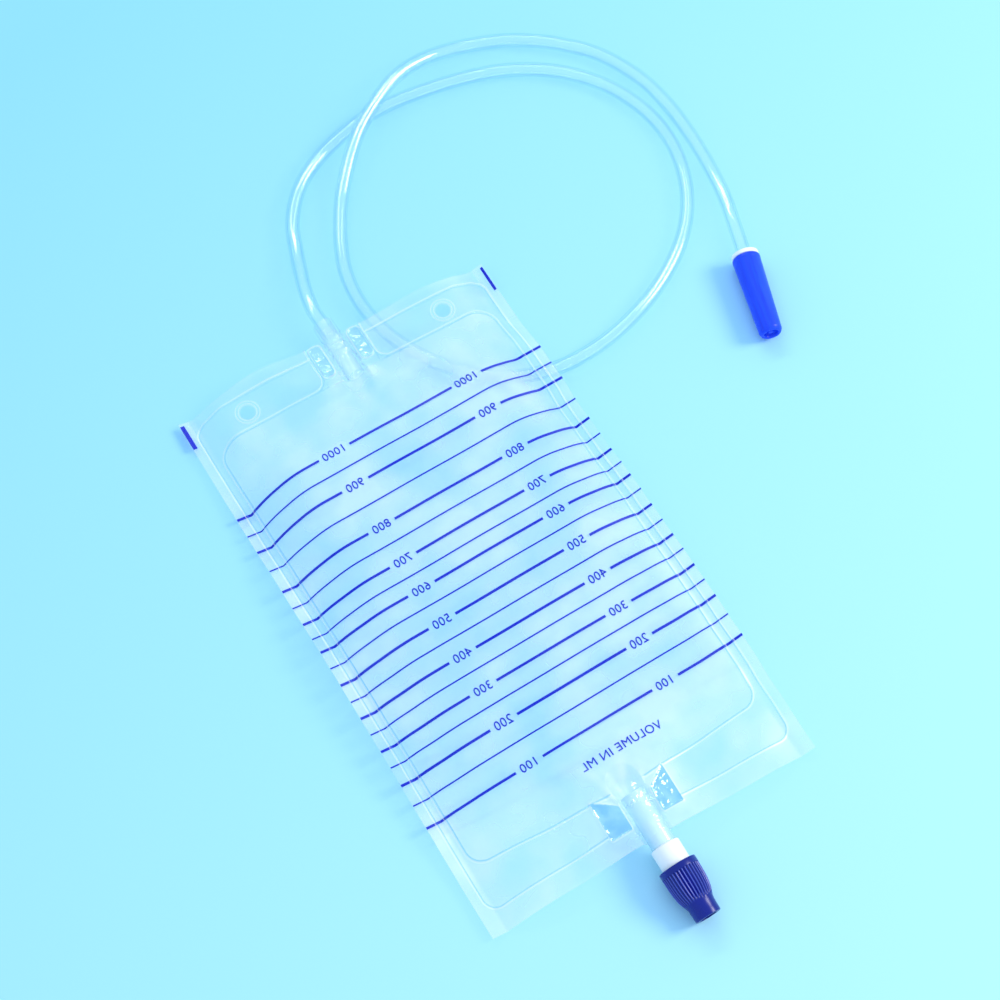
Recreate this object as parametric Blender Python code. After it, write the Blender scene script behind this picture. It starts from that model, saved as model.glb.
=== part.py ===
"""Urine drainage bag, about one litre, lying on its printed face with the plain back film up.

Two clear films are welded round a pouch that holds a little air. A ribbed port at the top takes
the inlet tube, which loops under one corner of the bag and ends in a capped connector. A short
outlet tube at the bottom carries a screw valve. Lengths are in metres. The bag's middle is the
origin of the working frame, and bag_frame moves that to the middle of the whole footprint.
"""
import math

import bmesh
import bpy
from mathutils import Matrix, Vector

# Films, in the bag's own plane: X across, Y towards the inlet
FILM_WIDTH = 0.165
FILM_LENGTH = 0.285
FILM_THICKNESS = 0.00035
WELD_GAP = 0.0003
SIDE_FLANGE = 0.0052
SIDE_WELD = 0.0043
TOP_FLANGE = 0.0062
TOP_HEADER = 0.0165
BOTTOM_FLANGE = 0.0105
BOTTOM_HEADER = 0.0205
BOTTOM_SLOPE = 0.0065
POUCH_CORNER = 0.0075
POUCH_PUFF = 0.0013
PUFF_REACH = 0.014

# How the bag lies: the middle stands up off its side welds, and the flanges turn up
PORT_HEIGHT = 0.010
BAG_RISE = 0.019
PORT_SHARE = PORT_HEIGHT / BAG_RISE
SHOULDER = 0.030
SHOULDER_POWER = 2.0
FLANGE_CURL = 0.0023
# Place along the bag as a share of its half length, then the heights of the left weld, the middle
# and the right weld as shares of the bag's rise
LYING = [
    (-1.00, 0.00, 0.32, 0.00),
    (-0.79, 0.05, 0.37, 0.18),
    (-0.60, 0.18, 0.45, 0.39),
    (-0.32, 0.37, 0.74, 0.47),
    (0.00, 0.45, 0.97, 0.42),
    (0.28, 0.29, 1.00, 0.26),
    (0.56, 0.08, 1.00, 0.16),
    (0.83, 0.00, PORT_SHARE, 0.14),
    (1.00, 0.00, PORT_SHARE, 0.20),
]

# Hanging holes
EYELET_SPACING = 0.1054
EYELET_HOLE = 0.007
EYELET_FLAT = 0.015
EYELET_BLEND = 0.010

# Inlet port
PORT_OUTER = 0.0104
PORT_WALL = 0.0014
PORT_PROUD = 0.008
PORT_INSIDE = 0.0007
RIB_HEIGHT = 0.00025
RIB_WIDTH = 0.0013
RIB_PITCH = 0.0041
RIB_COUNT = 3
RIB_FIRST = 0.0027

# Pressed weld pads on each side of the port and of the outlet
PAD_INNER_PORT = 0.0072
PAD_WIDTH_PORT = 0.0064
PAD_INNER_OUTLET = 0.0078
PAD_WIDTH_OUTLET = 0.0105

# Inlet tube and its connector
TUBE_DIAMETER = 0.007
TUBE_IN_SOCKET = 0.007
SOCKET_CLEARANCE = 0.0003
FLOOR_CLEARANCE = 0.0001
CROSSING_GAP = 0.0006
CONNECTOR_AT = (0.1928, 0.0784)
CONNECTOR_HEADING = (-0.2958, -0.9553)
FLANGE_DIAMETER = 0.0134
FLANGE_THICKNESS = 0.0022
TAPER_LENGTH = 0.0355
TAPER_ROOT = 0.0106
TAPER_TIP = 0.0066
TAPER_BORE = 0.0042
TAPER_EDGE = 0.0005

# Connector cap
CAP_LENGTH = 0.0426
CAP_RIM = 0.0138
CAP_TIP = 0.0109
CAP_CLEARANCE = 0.0003
CAP_EDGE = 0.0009
CAP_RECESS_DEPTH = 0.001
CAP_RECESS = 0.0072

# Outlet tube and screw valve, whose lengths run from the sleeve's rim towards the nozzle
VALVE_TILT = math.radians(6.0)
RIM_BEYOND_FILM = 0.0147
OUTLET_OUTER = 0.0115
OUTLET_WALL = 0.0014
OUTLET_START = 0.036
BODY_EXPOSED = 0.0099
BODY_HEAD = 0.0135
BODY_BORE = 0.0046
BODY_EDGE = 0.0008
SPIGOT_LENGTH = 0.012
HEAD_IN_SLEEVE = 0.002
SHANK_END = 0.0082
SHANK_OUTER = 0.0114
NECK_OUTER = 0.0086
NECK_END = 0.0156
PLUG_START = 0.0170
PLUG_END = 0.0184
PLUG_OUTER = 0.0056
WINDOW_START = 0.0134
WINDOW_LENGTH = 0.0016
WINDOW_WIDTH = 0.0030
SLEEVE_LENGTH = 0.0253
SLEEVE_RIM = 0.0178
SLEEVE_WAIST = 0.0170
SLEEVE_WAIST_AT = 0.0100
SLEEVE_NECK = 0.0146
SLEEVE_NECK_AT = 0.0172
NOZZLE_OUTER = 0.0122
NOZZLE_BORE = 0.0082
SLEEVE_EDGE = 0.0006
RIM_BORE = 0.0151
RIM_DEPTH = 0.0025
ORIFICE_START = 0.0168
ORIFICE_END = 0.0186
SEAL_AT = 0.0097
SEAL_SECTION = 0.0013
RUNNING_CLEARANCE = 0.0003
CHAMBER_CLEARANCE = 0.0009
BAND_LENGTH = 0.0030
GRIP_RIBS = 28
GRIP_RIB_DEPTH = 0.00045

# Facets of turned pieces, and spacing of the film's facets
TURNED_SIDES = 24
FILM_STEP = 0.018
TUBE_STEP = 0.0162
TUBE_SIDES_RESOLUTION = 2
BORE_SIDES = 16
SEAL_SIDES = 8
CHANNEL_FACETS = (0.22, 0.42)

HALF_WIDTH = FILM_WIDTH / 2
HALF_LENGTH = FILM_LENGTH / 2
WELD_OUTER_X = HALF_WIDTH - SIDE_FLANGE
WELD_INNER_X = WELD_OUTER_X - SIDE_WELD
WELD_MIDDLE_X = (WELD_OUTER_X + WELD_INNER_X) / 2
WELD_TOP_OUTER_Y = HALF_LENGTH - TOP_FLANGE
WELD_TOP_INNER_Y = WELD_TOP_OUTER_Y - TOP_HEADER
WELD_BOTTOM_OUTER_Y = -HALF_LENGTH + BOTTOM_FLANGE
WELD_BOTTOM_INNER_Y = WELD_BOTTOM_OUTER_Y + BOTTOM_HEADER
WELD_HEIGHT = FILM_THICKNESS + WELD_GAP / 2
EYELET_Y = (WELD_TOP_OUTER_Y + WELD_TOP_INNER_Y) / 2
PORT_MOUTH_Y = HALF_LENGTH + PORT_PROUD
PORT_INNER_Y = WELD_TOP_INNER_Y - PORT_INSIDE
PORT_BORE = PORT_OUTER - 2 * PORT_WALL
RIM_Y = -HALF_LENGTH - RIM_BEYOND_FILM

# The tube's way over the floor, seen from above: X, Y and the height of its middle
TUBE_RADIUS = TUBE_DIAMETER / 2
TUBE_REST = TUBE_RADIUS + FLOOR_CLEARANCE
TUBE_OVER = TUBE_REST + TUBE_DIAMETER + CROSSING_GAP
CONNECTOR_REST = CAP_RIM / 2
TUBE_ROUTE = [
    (0.0000, 0.1605, PORT_HEIGHT),
    (0.0022, 0.1718, 0.0087),
    (0.0062, 0.1842, 0.0063),
    (0.0106, 0.1966, 0.0044),
    (0.0158, 0.2097, TUBE_REST),
    (0.0240, 0.2213, TUBE_REST),
    (0.0336, 0.2302, TUBE_REST),
    (0.0455, 0.2369, TUBE_REST),
    (0.0598, 0.2421, TUBE_REST),
    (0.0751, 0.2457, TUBE_REST),
    (0.0910, 0.2467, TUBE_REST),
    (0.1076, 0.2452, TUBE_REST),
    (0.1287, 0.2416, TUBE_REST),
    (0.1487, 0.2354, TUBE_REST),
    (0.1666, 0.2257, TUBE_REST),
    (0.1813, 0.2125, TUBE_REST),
    (0.1921, 0.1967, TUBE_REST),
    (0.1985, 0.1790, TUBE_REST),
    (0.2003, 0.1609, TUBE_REST),
    (0.1974, 0.1435, TUBE_REST),
    (0.1909, 0.1274, TUBE_REST),
    (0.1811, 0.1130, TUBE_REST),
    (0.1674, 0.1002, TUBE_REST),
    (0.1499, 0.0893, TUBE_REST),
    (0.1329, 0.0822, TUBE_REST),
    (0.1150, 0.0774, TUBE_REST),
    (0.0988, 0.0756, TUBE_REST),
    (0.0837, 0.0765, TUBE_REST),
    (0.0680, 0.0812, TUBE_REST),
    (0.0530, 0.0906, TUBE_REST),
    (0.0400, 0.1046, TUBE_REST),
    (0.0300, 0.1214, TUBE_REST),
    (0.0241, 0.1395, TUBE_REST),
    (0.0226, 0.1570, TUBE_REST),
    (0.0250, 0.1733, TUBE_REST),
    (0.0304, 0.1876, TUBE_REST),
    (0.0372, 0.2004, TUBE_REST),
    (0.0453, 0.2125, 0.0044),
    (0.0566, 0.2253, 0.0078),
    (0.0690, 0.2364, TUBE_OVER),
    (0.0842, 0.2467, TUBE_OVER),
    (0.1000, 0.2545, TUBE_OVER),
    (0.1186, 0.2590, 0.0076),
    (0.1384, 0.2580, 0.0042),
    (0.1580, 0.2514, TUBE_REST),
    (0.1712, 0.2437, TUBE_REST),
    (0.1834, 0.2338, TUBE_REST),
    (0.1975, 0.2176, TUBE_REST),
    (0.2071, 0.1954, TUBE_REST),
    (0.2104, 0.1745, TUBE_REST),
    (0.2102, 0.1540, TUBE_REST),
    (0.2082, 0.1350, 0.0041),
    (0.2045, 0.1160, 0.0055),
]
TUBE_STRAIGHT_BEFORE_CONNECTOR = (0.026, 0.013)
UNDER_BAG = slice(26, 35)

# The films clear the tube where it runs under them
LIFT_CLEARANCE = 0.0009
LIFT_HALF_WIDTH = 0.013
LIFT_SLOPE = 0.30
LIFT_BLEND = 0.0015

# The films' channels over the port and the outlet tube: slope of their flanks, and how they fade
CHANNEL_FLANK = 1.5
PORT_FADE = 0.0112
OUTLET_FADE_FROM = 0.0182

# The outlet tube holds the films up round it
OUTLET_LIFT_FULL = 0.009
OUTLET_LIFT_REACH = 0.042
OUTLET_LIFT_FADE = 0.034


def clear_scene():
    for obj in list(bpy.data.objects):
        bpy.data.objects.remove(obj, do_unlink=True)


def material(name, colour, roughness, alpha=1.0):
    mat = bpy.data.materials.new(name)
    mat.use_nodes = True
    shader = mat.node_tree.nodes["Principled BSDF"]
    shader.inputs["Base Color"].default_value = (*colour, 1.0)
    shader.inputs["Roughness"].default_value = roughness
    shader.inputs["Metallic"].default_value = 0.0
    shader.inputs["Alpha"].default_value = alpha
    return mat


def add_empty(name, parent=None, matrix=Matrix()):
    empty = bpy.data.objects.new(name, None)
    bpy.context.scene.collection.objects.link(empty)
    empty.parent = parent
    empty.matrix_local = matrix
    return empty


def add_piece(name, bm, mat, parent, smooth_angle=math.radians(35)):
    bmesh.ops.recalc_face_normals(bm, faces=bm.faces[:])
    mesh = bpy.data.meshes.new(name)
    bm.to_mesh(mesh)
    bm.free()
    mesh.materials.append(mat)
    mesh.shade_smooth()
    mesh.set_sharp_from_angle(angle=smooth_angle)
    obj = bpy.data.objects.new(name, mesh)
    bpy.context.scene.collection.objects.link(obj)
    obj.parent = parent
    return obj


def turned(profile, sides=TURNED_SIDES):
    """A ring turned about +Z from a closed profile of (radius, height) points."""
    bm = bmesh.new()
    verts = [bm.verts.new((radius, 0.0, height)) for radius, height in profile]
    edges = [bm.edges.new((a, b)) for a, b in zip(verts, verts[1:] + verts[:1])]
    bmesh.ops.spin(
        bm, geom=verts + edges, cent=(0, 0, 0), axis=(0, 0, 1), dvec=(0, 0, 0),
        angle=math.tau, steps=sides, use_merge=True, use_duplicate=False,
    )
    return bm


def turned_solid(outline, sides=TURNED_SIDES):
    """A solid turned about +Z from an open outline of (radius, height) points, closed by end caps."""
    bm = bmesh.new()
    rings = []
    for radius, height in outline:
        angles = [math.tau * k / sides for k in range(sides)]
        rings.append([bm.verts.new((radius * math.cos(a), radius * math.sin(a), height)) for a in angles])
    for lower, upper in zip(rings, rings[1:]):
        for k in range(sides):
            nxt = (k + 1) % sides
            bm.faces.new((lower[k], lower[nxt], upper[nxt], upper[k]))
    bm.faces.new(rings[0][::-1])
    bm.faces.new(rings[-1])
    return bm


def cut(obj, cutter, operation="DIFFERENCE"):
    cutter.hide_render = True
    cutter.display_type = "WIRE"
    modifier = obj.modifiers.new(cutter.name, "BOOLEAN")
    modifier.operation = operation
    modifier.solver = "EXACT"
    modifier.object = cutter


def smooth(t):
    t = min(max(t, 0.0), 1.0)
    return t * t * (3.0 - 2.0 * t)


def smooth_max(a, b, blend):
    near = max(blend - abs(a - b), 0.0) / blend
    return max(a, b) + near * near * blend / 4.0


def curve_through(points, step):
    """Points a step apart on a smooth curve through the given points."""
    points = [Vector(p) for p in points]
    ends = [2 * points[0] - points[1]] + points + [2 * points[-1] - points[-2]]
    fine = []
    per_span = 12
    for p0, p1, p2, p3 in zip(ends, ends[1:], ends[2:], ends[3:]):
        for k in range(per_span):
            t = k / per_span
            fine.append(0.5 * (2 * p1 + (p2 - p0) * t + (2 * p0 - 5 * p1 + 4 * p2 - p3) * t * t
                               + (3 * p1 - p0 - 3 * p2 + p3) * t * t * t))
    fine.append(points[-1])
    lengths = [0.0]
    for a, b in zip(fine, fine[1:]):
        lengths.append(lengths[-1] + (b - a).length)
    count = max(2, round(lengths[-1] / step))
    spaced, k = [], 0
    for i in range(count + 1):
        target = lengths[-1] * i / count
        while k < len(fine) - 2 and lengths[k + 1] < target:
            k += 1
        share = (target - lengths[k]) / (lengths[k + 1] - lengths[k])
        spaced.append(fine[k].lerp(fine[k + 1], share))
    return spaced


def connector_point(along, height=None):
    """A point on the connector's axis, which starts at the cap's rim and runs to the cap's tip."""
    x, y = CONNECTOR_AT
    dx, dy = CONNECTOR_HEADING
    z = CONNECTOR_REST if height is None else height
    return (x + dx * along, y + dy * along, z)


def tube_points():
    start = [(0.0, PORT_MOUTH_Y - TUBE_IN_SOCKET, PORT_HEIGHT), (0.0, PORT_MOUTH_Y, PORT_HEIGHT)]
    end = [connector_point(-before) for before in TUBE_STRAIGHT_BEFORE_CONNECTOR]
    end.append(connector_point(TUBE_IN_SOCKET - FLANGE_THICKNESS))
    return start + TUBE_ROUTE + end


HIDDEN_ROUTE = [Vector((x, y)) for x, y, _ in TUBE_ROUTE[UNDER_BAG]]


def distance_to_hidden_tube(x, y):
    here = Vector((x, y))
    nearest = math.inf
    for a, b in zip(HIDDEN_ROUTE, HIDDEN_ROUTE[1:]):
        along = b - a
        t = min(max((here - a).dot(along) / along.length_squared, 0.0), 1.0)
        nearest = min(nearest, (here - a - along * t).length)
    return nearest


def sleeve_outline():
    """Radius and place of the sleeve's outside, from its rim to the nozzle."""
    return [
        (SLEEVE_RIM / 2, 0.0),
        (SLEEVE_WAIST / 2, SLEEVE_WAIST_AT),
        (SLEEVE_NECK / 2, SLEEVE_NECK_AT),
        (NOZZLE_OUTER / 2, SLEEVE_LENGTH),
    ]


def rim_height():
    """Height of the valve's axis at the sleeve's rim, with the tilted sleeve lying on the floor."""
    sine, cosine = math.sin(VALVE_TILT), math.cos(VALVE_TILT)
    return max(place * sine + radius * cosine for radius, place in sleeve_outline())


def valve_axis_height(y):
    return rim_height() + (y - RIM_Y) * math.tan(VALVE_TILT)


def eyelet_centres():
    return [(side * EYELET_SPACING / 2, EYELET_Y) for side in (-1, 1)]


def lie_along(y):
    """Heights of the left weld, the middle and the right weld at a place along the bag."""
    share = min(max(y / HALF_LENGTH, -1.0), 1.0)
    for low, high in zip(LYING, LYING[1:]):
        if share <= high[0]:
            t = smooth((share - low[0]) / (high[0] - low[0]))
            return [BAG_RISE * (a + (b - a) * t) for a, b in zip(low[1:], high[1:])]


def lying_height(x, y):
    """Height of the plane between the films, before what lifts them."""
    left, middle, right = lie_along(y)
    weld = max(left if x < 0 else right, WELD_HEIGHT)
    across = min(max((WELD_MIDDLE_X - abs(x)) / SHOULDER, 0.0), 1.0)
    outside = max(abs(x) - WELD_MIDDLE_X, 0.0) / (HALF_WIDTH - WELD_MIDDLE_X)
    return weld + (middle - weld) * (1.0 - (1.0 - across) ** SHOULDER_POWER) + FLANGE_CURL * outside


def parting_height(x, y):
    """Height of the plane between the two films."""
    height = lying_height(x, y)
    for ex, ey in eyelet_centres():
        beyond = max(abs(x - ex), abs(y - ey)) - EYELET_FLAT / 2
        flat = 1.0 - smooth(beyond / EYELET_BLEND)
        height += (lying_height(ex, ey) - height) * flat
    over_tube = TUBE_REST + TUBE_RADIUS + LIFT_CLEARANCE + FILM_THICKNESS + WELD_GAP / 2
    away = max(distance_to_hidden_tube(x, y) - LIFT_HALF_WIDTH, 0.0)
    height = smooth_max(height, over_tube - LIFT_SLOPE * away, LIFT_BLEND)
    beside = 1.0 - smooth((abs(x) - OUTLET_LIFT_FULL) / (OUTLET_LIFT_REACH - OUTLET_LIFT_FULL))
    inwards = 1.0 - smooth((y - WELD_BOTTOM_INNER_Y) / OUTLET_LIFT_FADE)
    held = beside * inwards
    return height * (1.0 - held) + valve_axis_height(y) * held


def pouch_bottom(x):
    """The inner weld at the bottom falls from the corners to the outlet."""
    return WELD_BOTTOM_INNER_Y - BOTTOM_SLOPE * (1.0 - abs(x) / WELD_INNER_X)


def inside_pouch(x, y):
    """How far a point lies inside the pouch's outline, whose corners are round."""
    middle = (WELD_TOP_INNER_Y + pouch_bottom(x)) / 2
    reach_x = WELD_INNER_X - POUCH_CORNER - abs(x)
    reach_y = (WELD_TOP_INNER_Y - pouch_bottom(x)) / 2 - POUCH_CORNER - abs(y - middle)
    if reach_x < 0 and reach_y < 0:
        return POUCH_CORNER - math.hypot(reach_x, reach_y)
    return min(reach_x, reach_y) + POUCH_CORNER


def channel(x, radius):
    """Half height of the film's channel over a round piece: its arc, then a straight flank."""
    touch = radius * CHANNEL_FLANK / math.hypot(1.0, CHANNEL_FLANK)
    if abs(x) <= touch:
        return math.sqrt(radius * radius - x * x)
    return max(math.sqrt(radius * radius - touch * touch) - CHANNEL_FLANK * (abs(x) - touch), 0.0)


def half_gap(x, y):
    """Half the space between the films."""
    puff = POUCH_PUFF * smooth(inside_pouch(x, y) / PUFF_REACH)
    port_fade = smooth((y - (PORT_INNER_Y - PUFF_REACH)) / PORT_FADE)
    port = channel(x, PORT_OUTER / 2 + SOCKET_CLEARANCE) * port_fade
    inner_end = RIM_Y + OUTLET_START * math.cos(VALVE_TILT)
    outlet_fade = smooth((inner_end + OUTLET_FADE_FROM - y) / PUFF_REACH)
    outlet = channel(x, OUTLET_OUTER / 2 + SOCKET_CLEARANCE) * outlet_fade
    return WELD_GAP / 2 + max(puff, port, outlet)


def subdivided(stops, step):
    """The given stops in order, with even steps between those that lie far apart."""
    stops = sorted(set(round(s, 7) for s in stops))
    lines = [stops[0]]
    for a, b in zip(stops, stops[1:]):
        count = max(1, math.ceil((b - a) / step - 1e-6))
        lines += [a + (b - a) * k / count for k in range(1, count + 1)]
    return lines


def film_lines():
    """The film's facet lines across and along: its welds, channels, pads and eyelets."""
    eyelet_x = EYELET_SPACING / 2
    flat = EYELET_FLAT / 2
    half = [
        *(PORT_OUTER * share for share in CHANNEL_FACETS), PAD_INNER_OUTLET,
        PAD_INNER_PORT + PAD_WIDTH_PORT, PAD_INNER_OUTLET + PAD_WIDTH_OUTLET,
        eyelet_x - flat, eyelet_x + flat, WELD_INNER_X - PUFF_REACH, WELD_INNER_X - PUFF_REACH / 2,
        WELD_INNER_X, WELD_MIDDLE_X, WELD_OUTER_X, HALF_WIDTH,
    ]
    across = subdivided([0.0] + half + [-x for x in half], FILM_STEP)
    tube_y = HIDDEN_ROUTE[0].y
    along = subdivided([
        -HALF_LENGTH, WELD_BOTTOM_OUTER_Y, (WELD_BOTTOM_OUTER_Y + WELD_BOTTOM_INNER_Y) / 2,
        WELD_BOTTOM_INNER_Y - BOTTOM_SLOPE, WELD_BOTTOM_INNER_Y, WELD_BOTTOM_INNER_Y + PUFF_REACH / 2,
        WELD_BOTTOM_INNER_Y + PUFF_REACH, tube_y - LIFT_HALF_WIDTH, tube_y, tube_y + LIFT_HALF_WIDTH,
        WELD_TOP_INNER_Y - PUFF_REACH, WELD_TOP_INNER_Y - PUFF_REACH / 2, WELD_TOP_INNER_Y,
        EYELET_Y - flat, EYELET_Y + flat, WELD_TOP_OUTER_Y, HALF_LENGTH,
    ], FILM_STEP)
    return across, along


def film_mesh(side):
    """A welded film as a closed sheet: side +1 is the upper film, -1 the lower one."""
    across, along = film_lines()
    bm = bmesh.new()
    inner, outer = [], []
    for y in along:
        inner_row, outer_row = [], []
        for x in across:
            facing = parting_height(x, y) + side * half_gap(x, y)
            inner_row.append(bm.verts.new((x, y, facing)))
            outer_row.append(bm.verts.new((x, y, facing + side * FILM_THICKNESS)))
        inner.append(inner_row)
        outer.append(outer_row)
    for sheet in (inner, outer):
        for lower, upper in zip(sheet, sheet[1:]):
            for k in range(len(across) - 1):
                bm.faces.new((lower[k], lower[k + 1], upper[k + 1], upper[k]))
    rims = [
        ([row[0] for row in inner], [row[0] for row in outer]),
        ([row[-1] for row in inner], [row[-1] for row in outer]),
        (inner[0], outer[0]),
        (inner[-1], outer[-1]),
    ]
    for low, high in rims:
        for k in range(len(low) - 1):
            bm.faces.new((low[k], low[k + 1], high[k + 1], high[k]))
    return bm


def build_films(frame):
    clear_film = material("clear_film", (0.80, 0.92, 0.95), 0.18, alpha=0.45)
    printed_film = material("printed_film", (0.72, 0.88, 0.94), 0.20, alpha=0.5)
    back = add_piece("back_film", film_mesh(1), clear_film, frame)
    front = add_piece("front_film", film_mesh(-1), printed_film, frame)
    for index, (x, y) in enumerate(eyelet_centres()):
        reach = 4 * FILM_THICKNESS
        punch_mesh = turned_solid([(EYELET_HOLE / 2, -reach), (EYELET_HOLE / 2, reach)])
        punch = add_piece(f"eyelet_punch_{index}", punch_mesh, clear_film, frame)
        punch.location = (x, y, parting_height(x, y))
        cut(back, punch)
        cut(front, punch)


def build_port(frame):
    """A tube with ring ribs that the films are welded round, and a bore that takes the inlet tube."""
    outer, bore = PORT_OUTER / 2, PORT_BORE / 2
    length = PORT_MOUTH_Y - PORT_INNER_Y
    edge = PORT_WALL / 4
    barrel = outer - RIB_HEIGHT
    profile = [(bore, 0.0), (barrel - edge, 0.0), (barrel, edge)]
    rib = HALF_LENGTH - PORT_INNER_Y - RIB_FIRST - RIB_PITCH * (RIB_COUNT - 1)
    for _ in range(RIB_COUNT):
        profile += [
            (barrel, rib - RIB_WIDTH), (outer, rib - RIB_WIDTH / 2), (barrel, rib),
        ]
        rib += RIB_PITCH
    profile += [(barrel, length - PORT_PROUD), (outer, length - PORT_PROUD), (outer, length - edge),
                (outer - edge, length), (bore, length)]
    clear = material("clear_moulding", (0.84, 0.93, 0.95), 0.12, alpha=0.55)
    port = add_piece("inlet_port", turned(profile), clear, frame)
    port.rotation_euler = (-math.pi / 2, 0.0, 0.0)
    port.location = (0.0, PORT_INNER_Y, PORT_HEIGHT)


def build_tube(frame):
    """The inlet tube, laid over the floor in the loops of its route."""
    points = curve_through(tube_points(), TUBE_STEP)
    curve = bpy.data.curves.new("inlet_tube", "CURVE")
    curve.dimensions = "3D"
    curve.bevel_depth = TUBE_RADIUS
    curve.bevel_resolution = TUBE_SIDES_RESOLUTION
    curve.use_fill_caps = True
    spline = curve.splines.new("POLY")
    spline.points.add(len(points) - 1)
    for spot, point in zip(spline.points, points):
        spot.co = (*point, 1.0)
    curve.materials.append(material("clear_tubing", (0.82, 0.94, 0.95), 0.10, alpha=0.55))
    tube = bpy.data.objects.new("inlet_tube", curve)
    bpy.context.scene.collection.objects.link(tube)
    tube.parent = frame


def connector_frame(frame):
    """An empty at the cap's rim, with +Z along the connector towards the cap's tip."""
    along = Vector((*CONNECTOR_HEADING, 0.0)).normalized()
    turn = along.to_track_quat("Z", "Y").to_matrix().to_4x4()
    return add_empty("connector_axis", frame, Matrix.Translation(connector_point(0.0)) @ turn)


def taper_radius(along):
    return TAPER_ROOT / 2 + (TAPER_TIP - TAPER_ROOT) / 2 * along / TAPER_LENGTH


def build_connector(axis):
    """A flange with a socket for the tube behind it and a tapered spigot in front."""
    flange_front = -CAP_CLEARANCE
    flange_back = flange_front - FLANGE_THICKNESS
    socket = TUBE_RADIUS + SOCKET_CLEARANCE
    socket_floor = TUBE_IN_SOCKET - FLANGE_THICKNESS + SOCKET_CLEARANCE
    edge = FLANGE_THICKNESS / 5
    profile = [
        (socket, flange_back),
        (FLANGE_DIAMETER / 2 - edge, flange_back),
        (FLANGE_DIAMETER / 2, flange_back + edge),
        (FLANGE_DIAMETER / 2, flange_front - edge),
        (FLANGE_DIAMETER / 2 - edge, flange_front),
        (taper_radius(0.0), flange_front),
        (taper_radius(TAPER_LENGTH - TAPER_EDGE), TAPER_LENGTH - TAPER_EDGE),
        (TAPER_TIP / 2 - TAPER_EDGE, TAPER_LENGTH),
        (TAPER_BORE / 2, TAPER_LENGTH),
        (TAPER_BORE / 2, socket_floor),
        (socket, socket_floor),
    ]
    white = material("white_moulding", (0.93, 0.95, 0.96), 0.35)
    add_piece("tube_connector", turned(profile), white, axis)


def build_cap(axis):
    """A tapered cap with a rounded rim, a blind taper inside and a dished tip."""
    rim, tip = CAP_RIM / 2, CAP_TIP / 2
    inner_end = TAPER_LENGTH + CAP_CLEARANCE
    slope = (tip - rim) / CAP_LENGTH
    rounding = [(math.sin(a), 1.0 - math.cos(a)) for a in (0.0, math.pi / 6, math.pi / 3, math.pi / 2)]
    mouth = taper_radius(0.0) + CAP_CLEARANCE
    outline = [(rim - CAP_EDGE + CAP_EDGE * s, CAP_EDGE * c) for s, c in rounding]
    outline += [(rim + slope * CAP_LENGTH / 2, CAP_LENGTH / 2)]
    outline += [(tip - CAP_EDGE + CAP_EDGE * s, CAP_LENGTH - CAP_EDGE * c) for s, c in rounding[::-1]]
    solid = turned_solid(outline)
    blue = material("blue_cap", (0.03, 0.10, 0.75), 0.25)
    cap = add_piece("connector_cap", solid, blue, axis)
    bore = turned_solid([
        (mouth, -CAP_EDGE), (mouth, 0.0),
        (taper_radius(TAPER_LENGTH) + CAP_CLEARANCE, inner_end)])
    dish = turned_solid([
        (CAP_RECESS / 2 - CAP_RECESS_DEPTH / 2, CAP_LENGTH - CAP_RECESS_DEPTH),
        (CAP_RECESS / 2, CAP_LENGTH + CAP_RECESS_DEPTH)])
    cut(cap, add_piece("cap_bore", bore, blue, axis))
    cut(cap, add_piece("cap_dish", dish, blue, axis))


def valve_frame(frame):
    """An empty at the sleeve's rim, with +Z along the valve towards its nozzle."""
    place = Matrix.Translation((0.0, RIM_Y, rim_height()))
    return add_empty("valve_axis", frame, place @ Matrix.Rotation(math.pi / 2 + VALVE_TILT, 4, "X"))


def build_outlet_tube(axis):
    outer, bore = OUTLET_OUTER / 2, OUTLET_OUTER / 2 - OUTLET_WALL
    end = -BODY_EXPOSED - WELD_GAP
    profile = [(bore, -OUTLET_START), (outer, -OUTLET_START), (outer, end), (bore, end)]
    clear = material("outlet_tubing", (0.84, 0.93, 0.95), 0.10, alpha=0.5)
    add_piece("outlet_tube", turned(profile), clear, axis)


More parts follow.
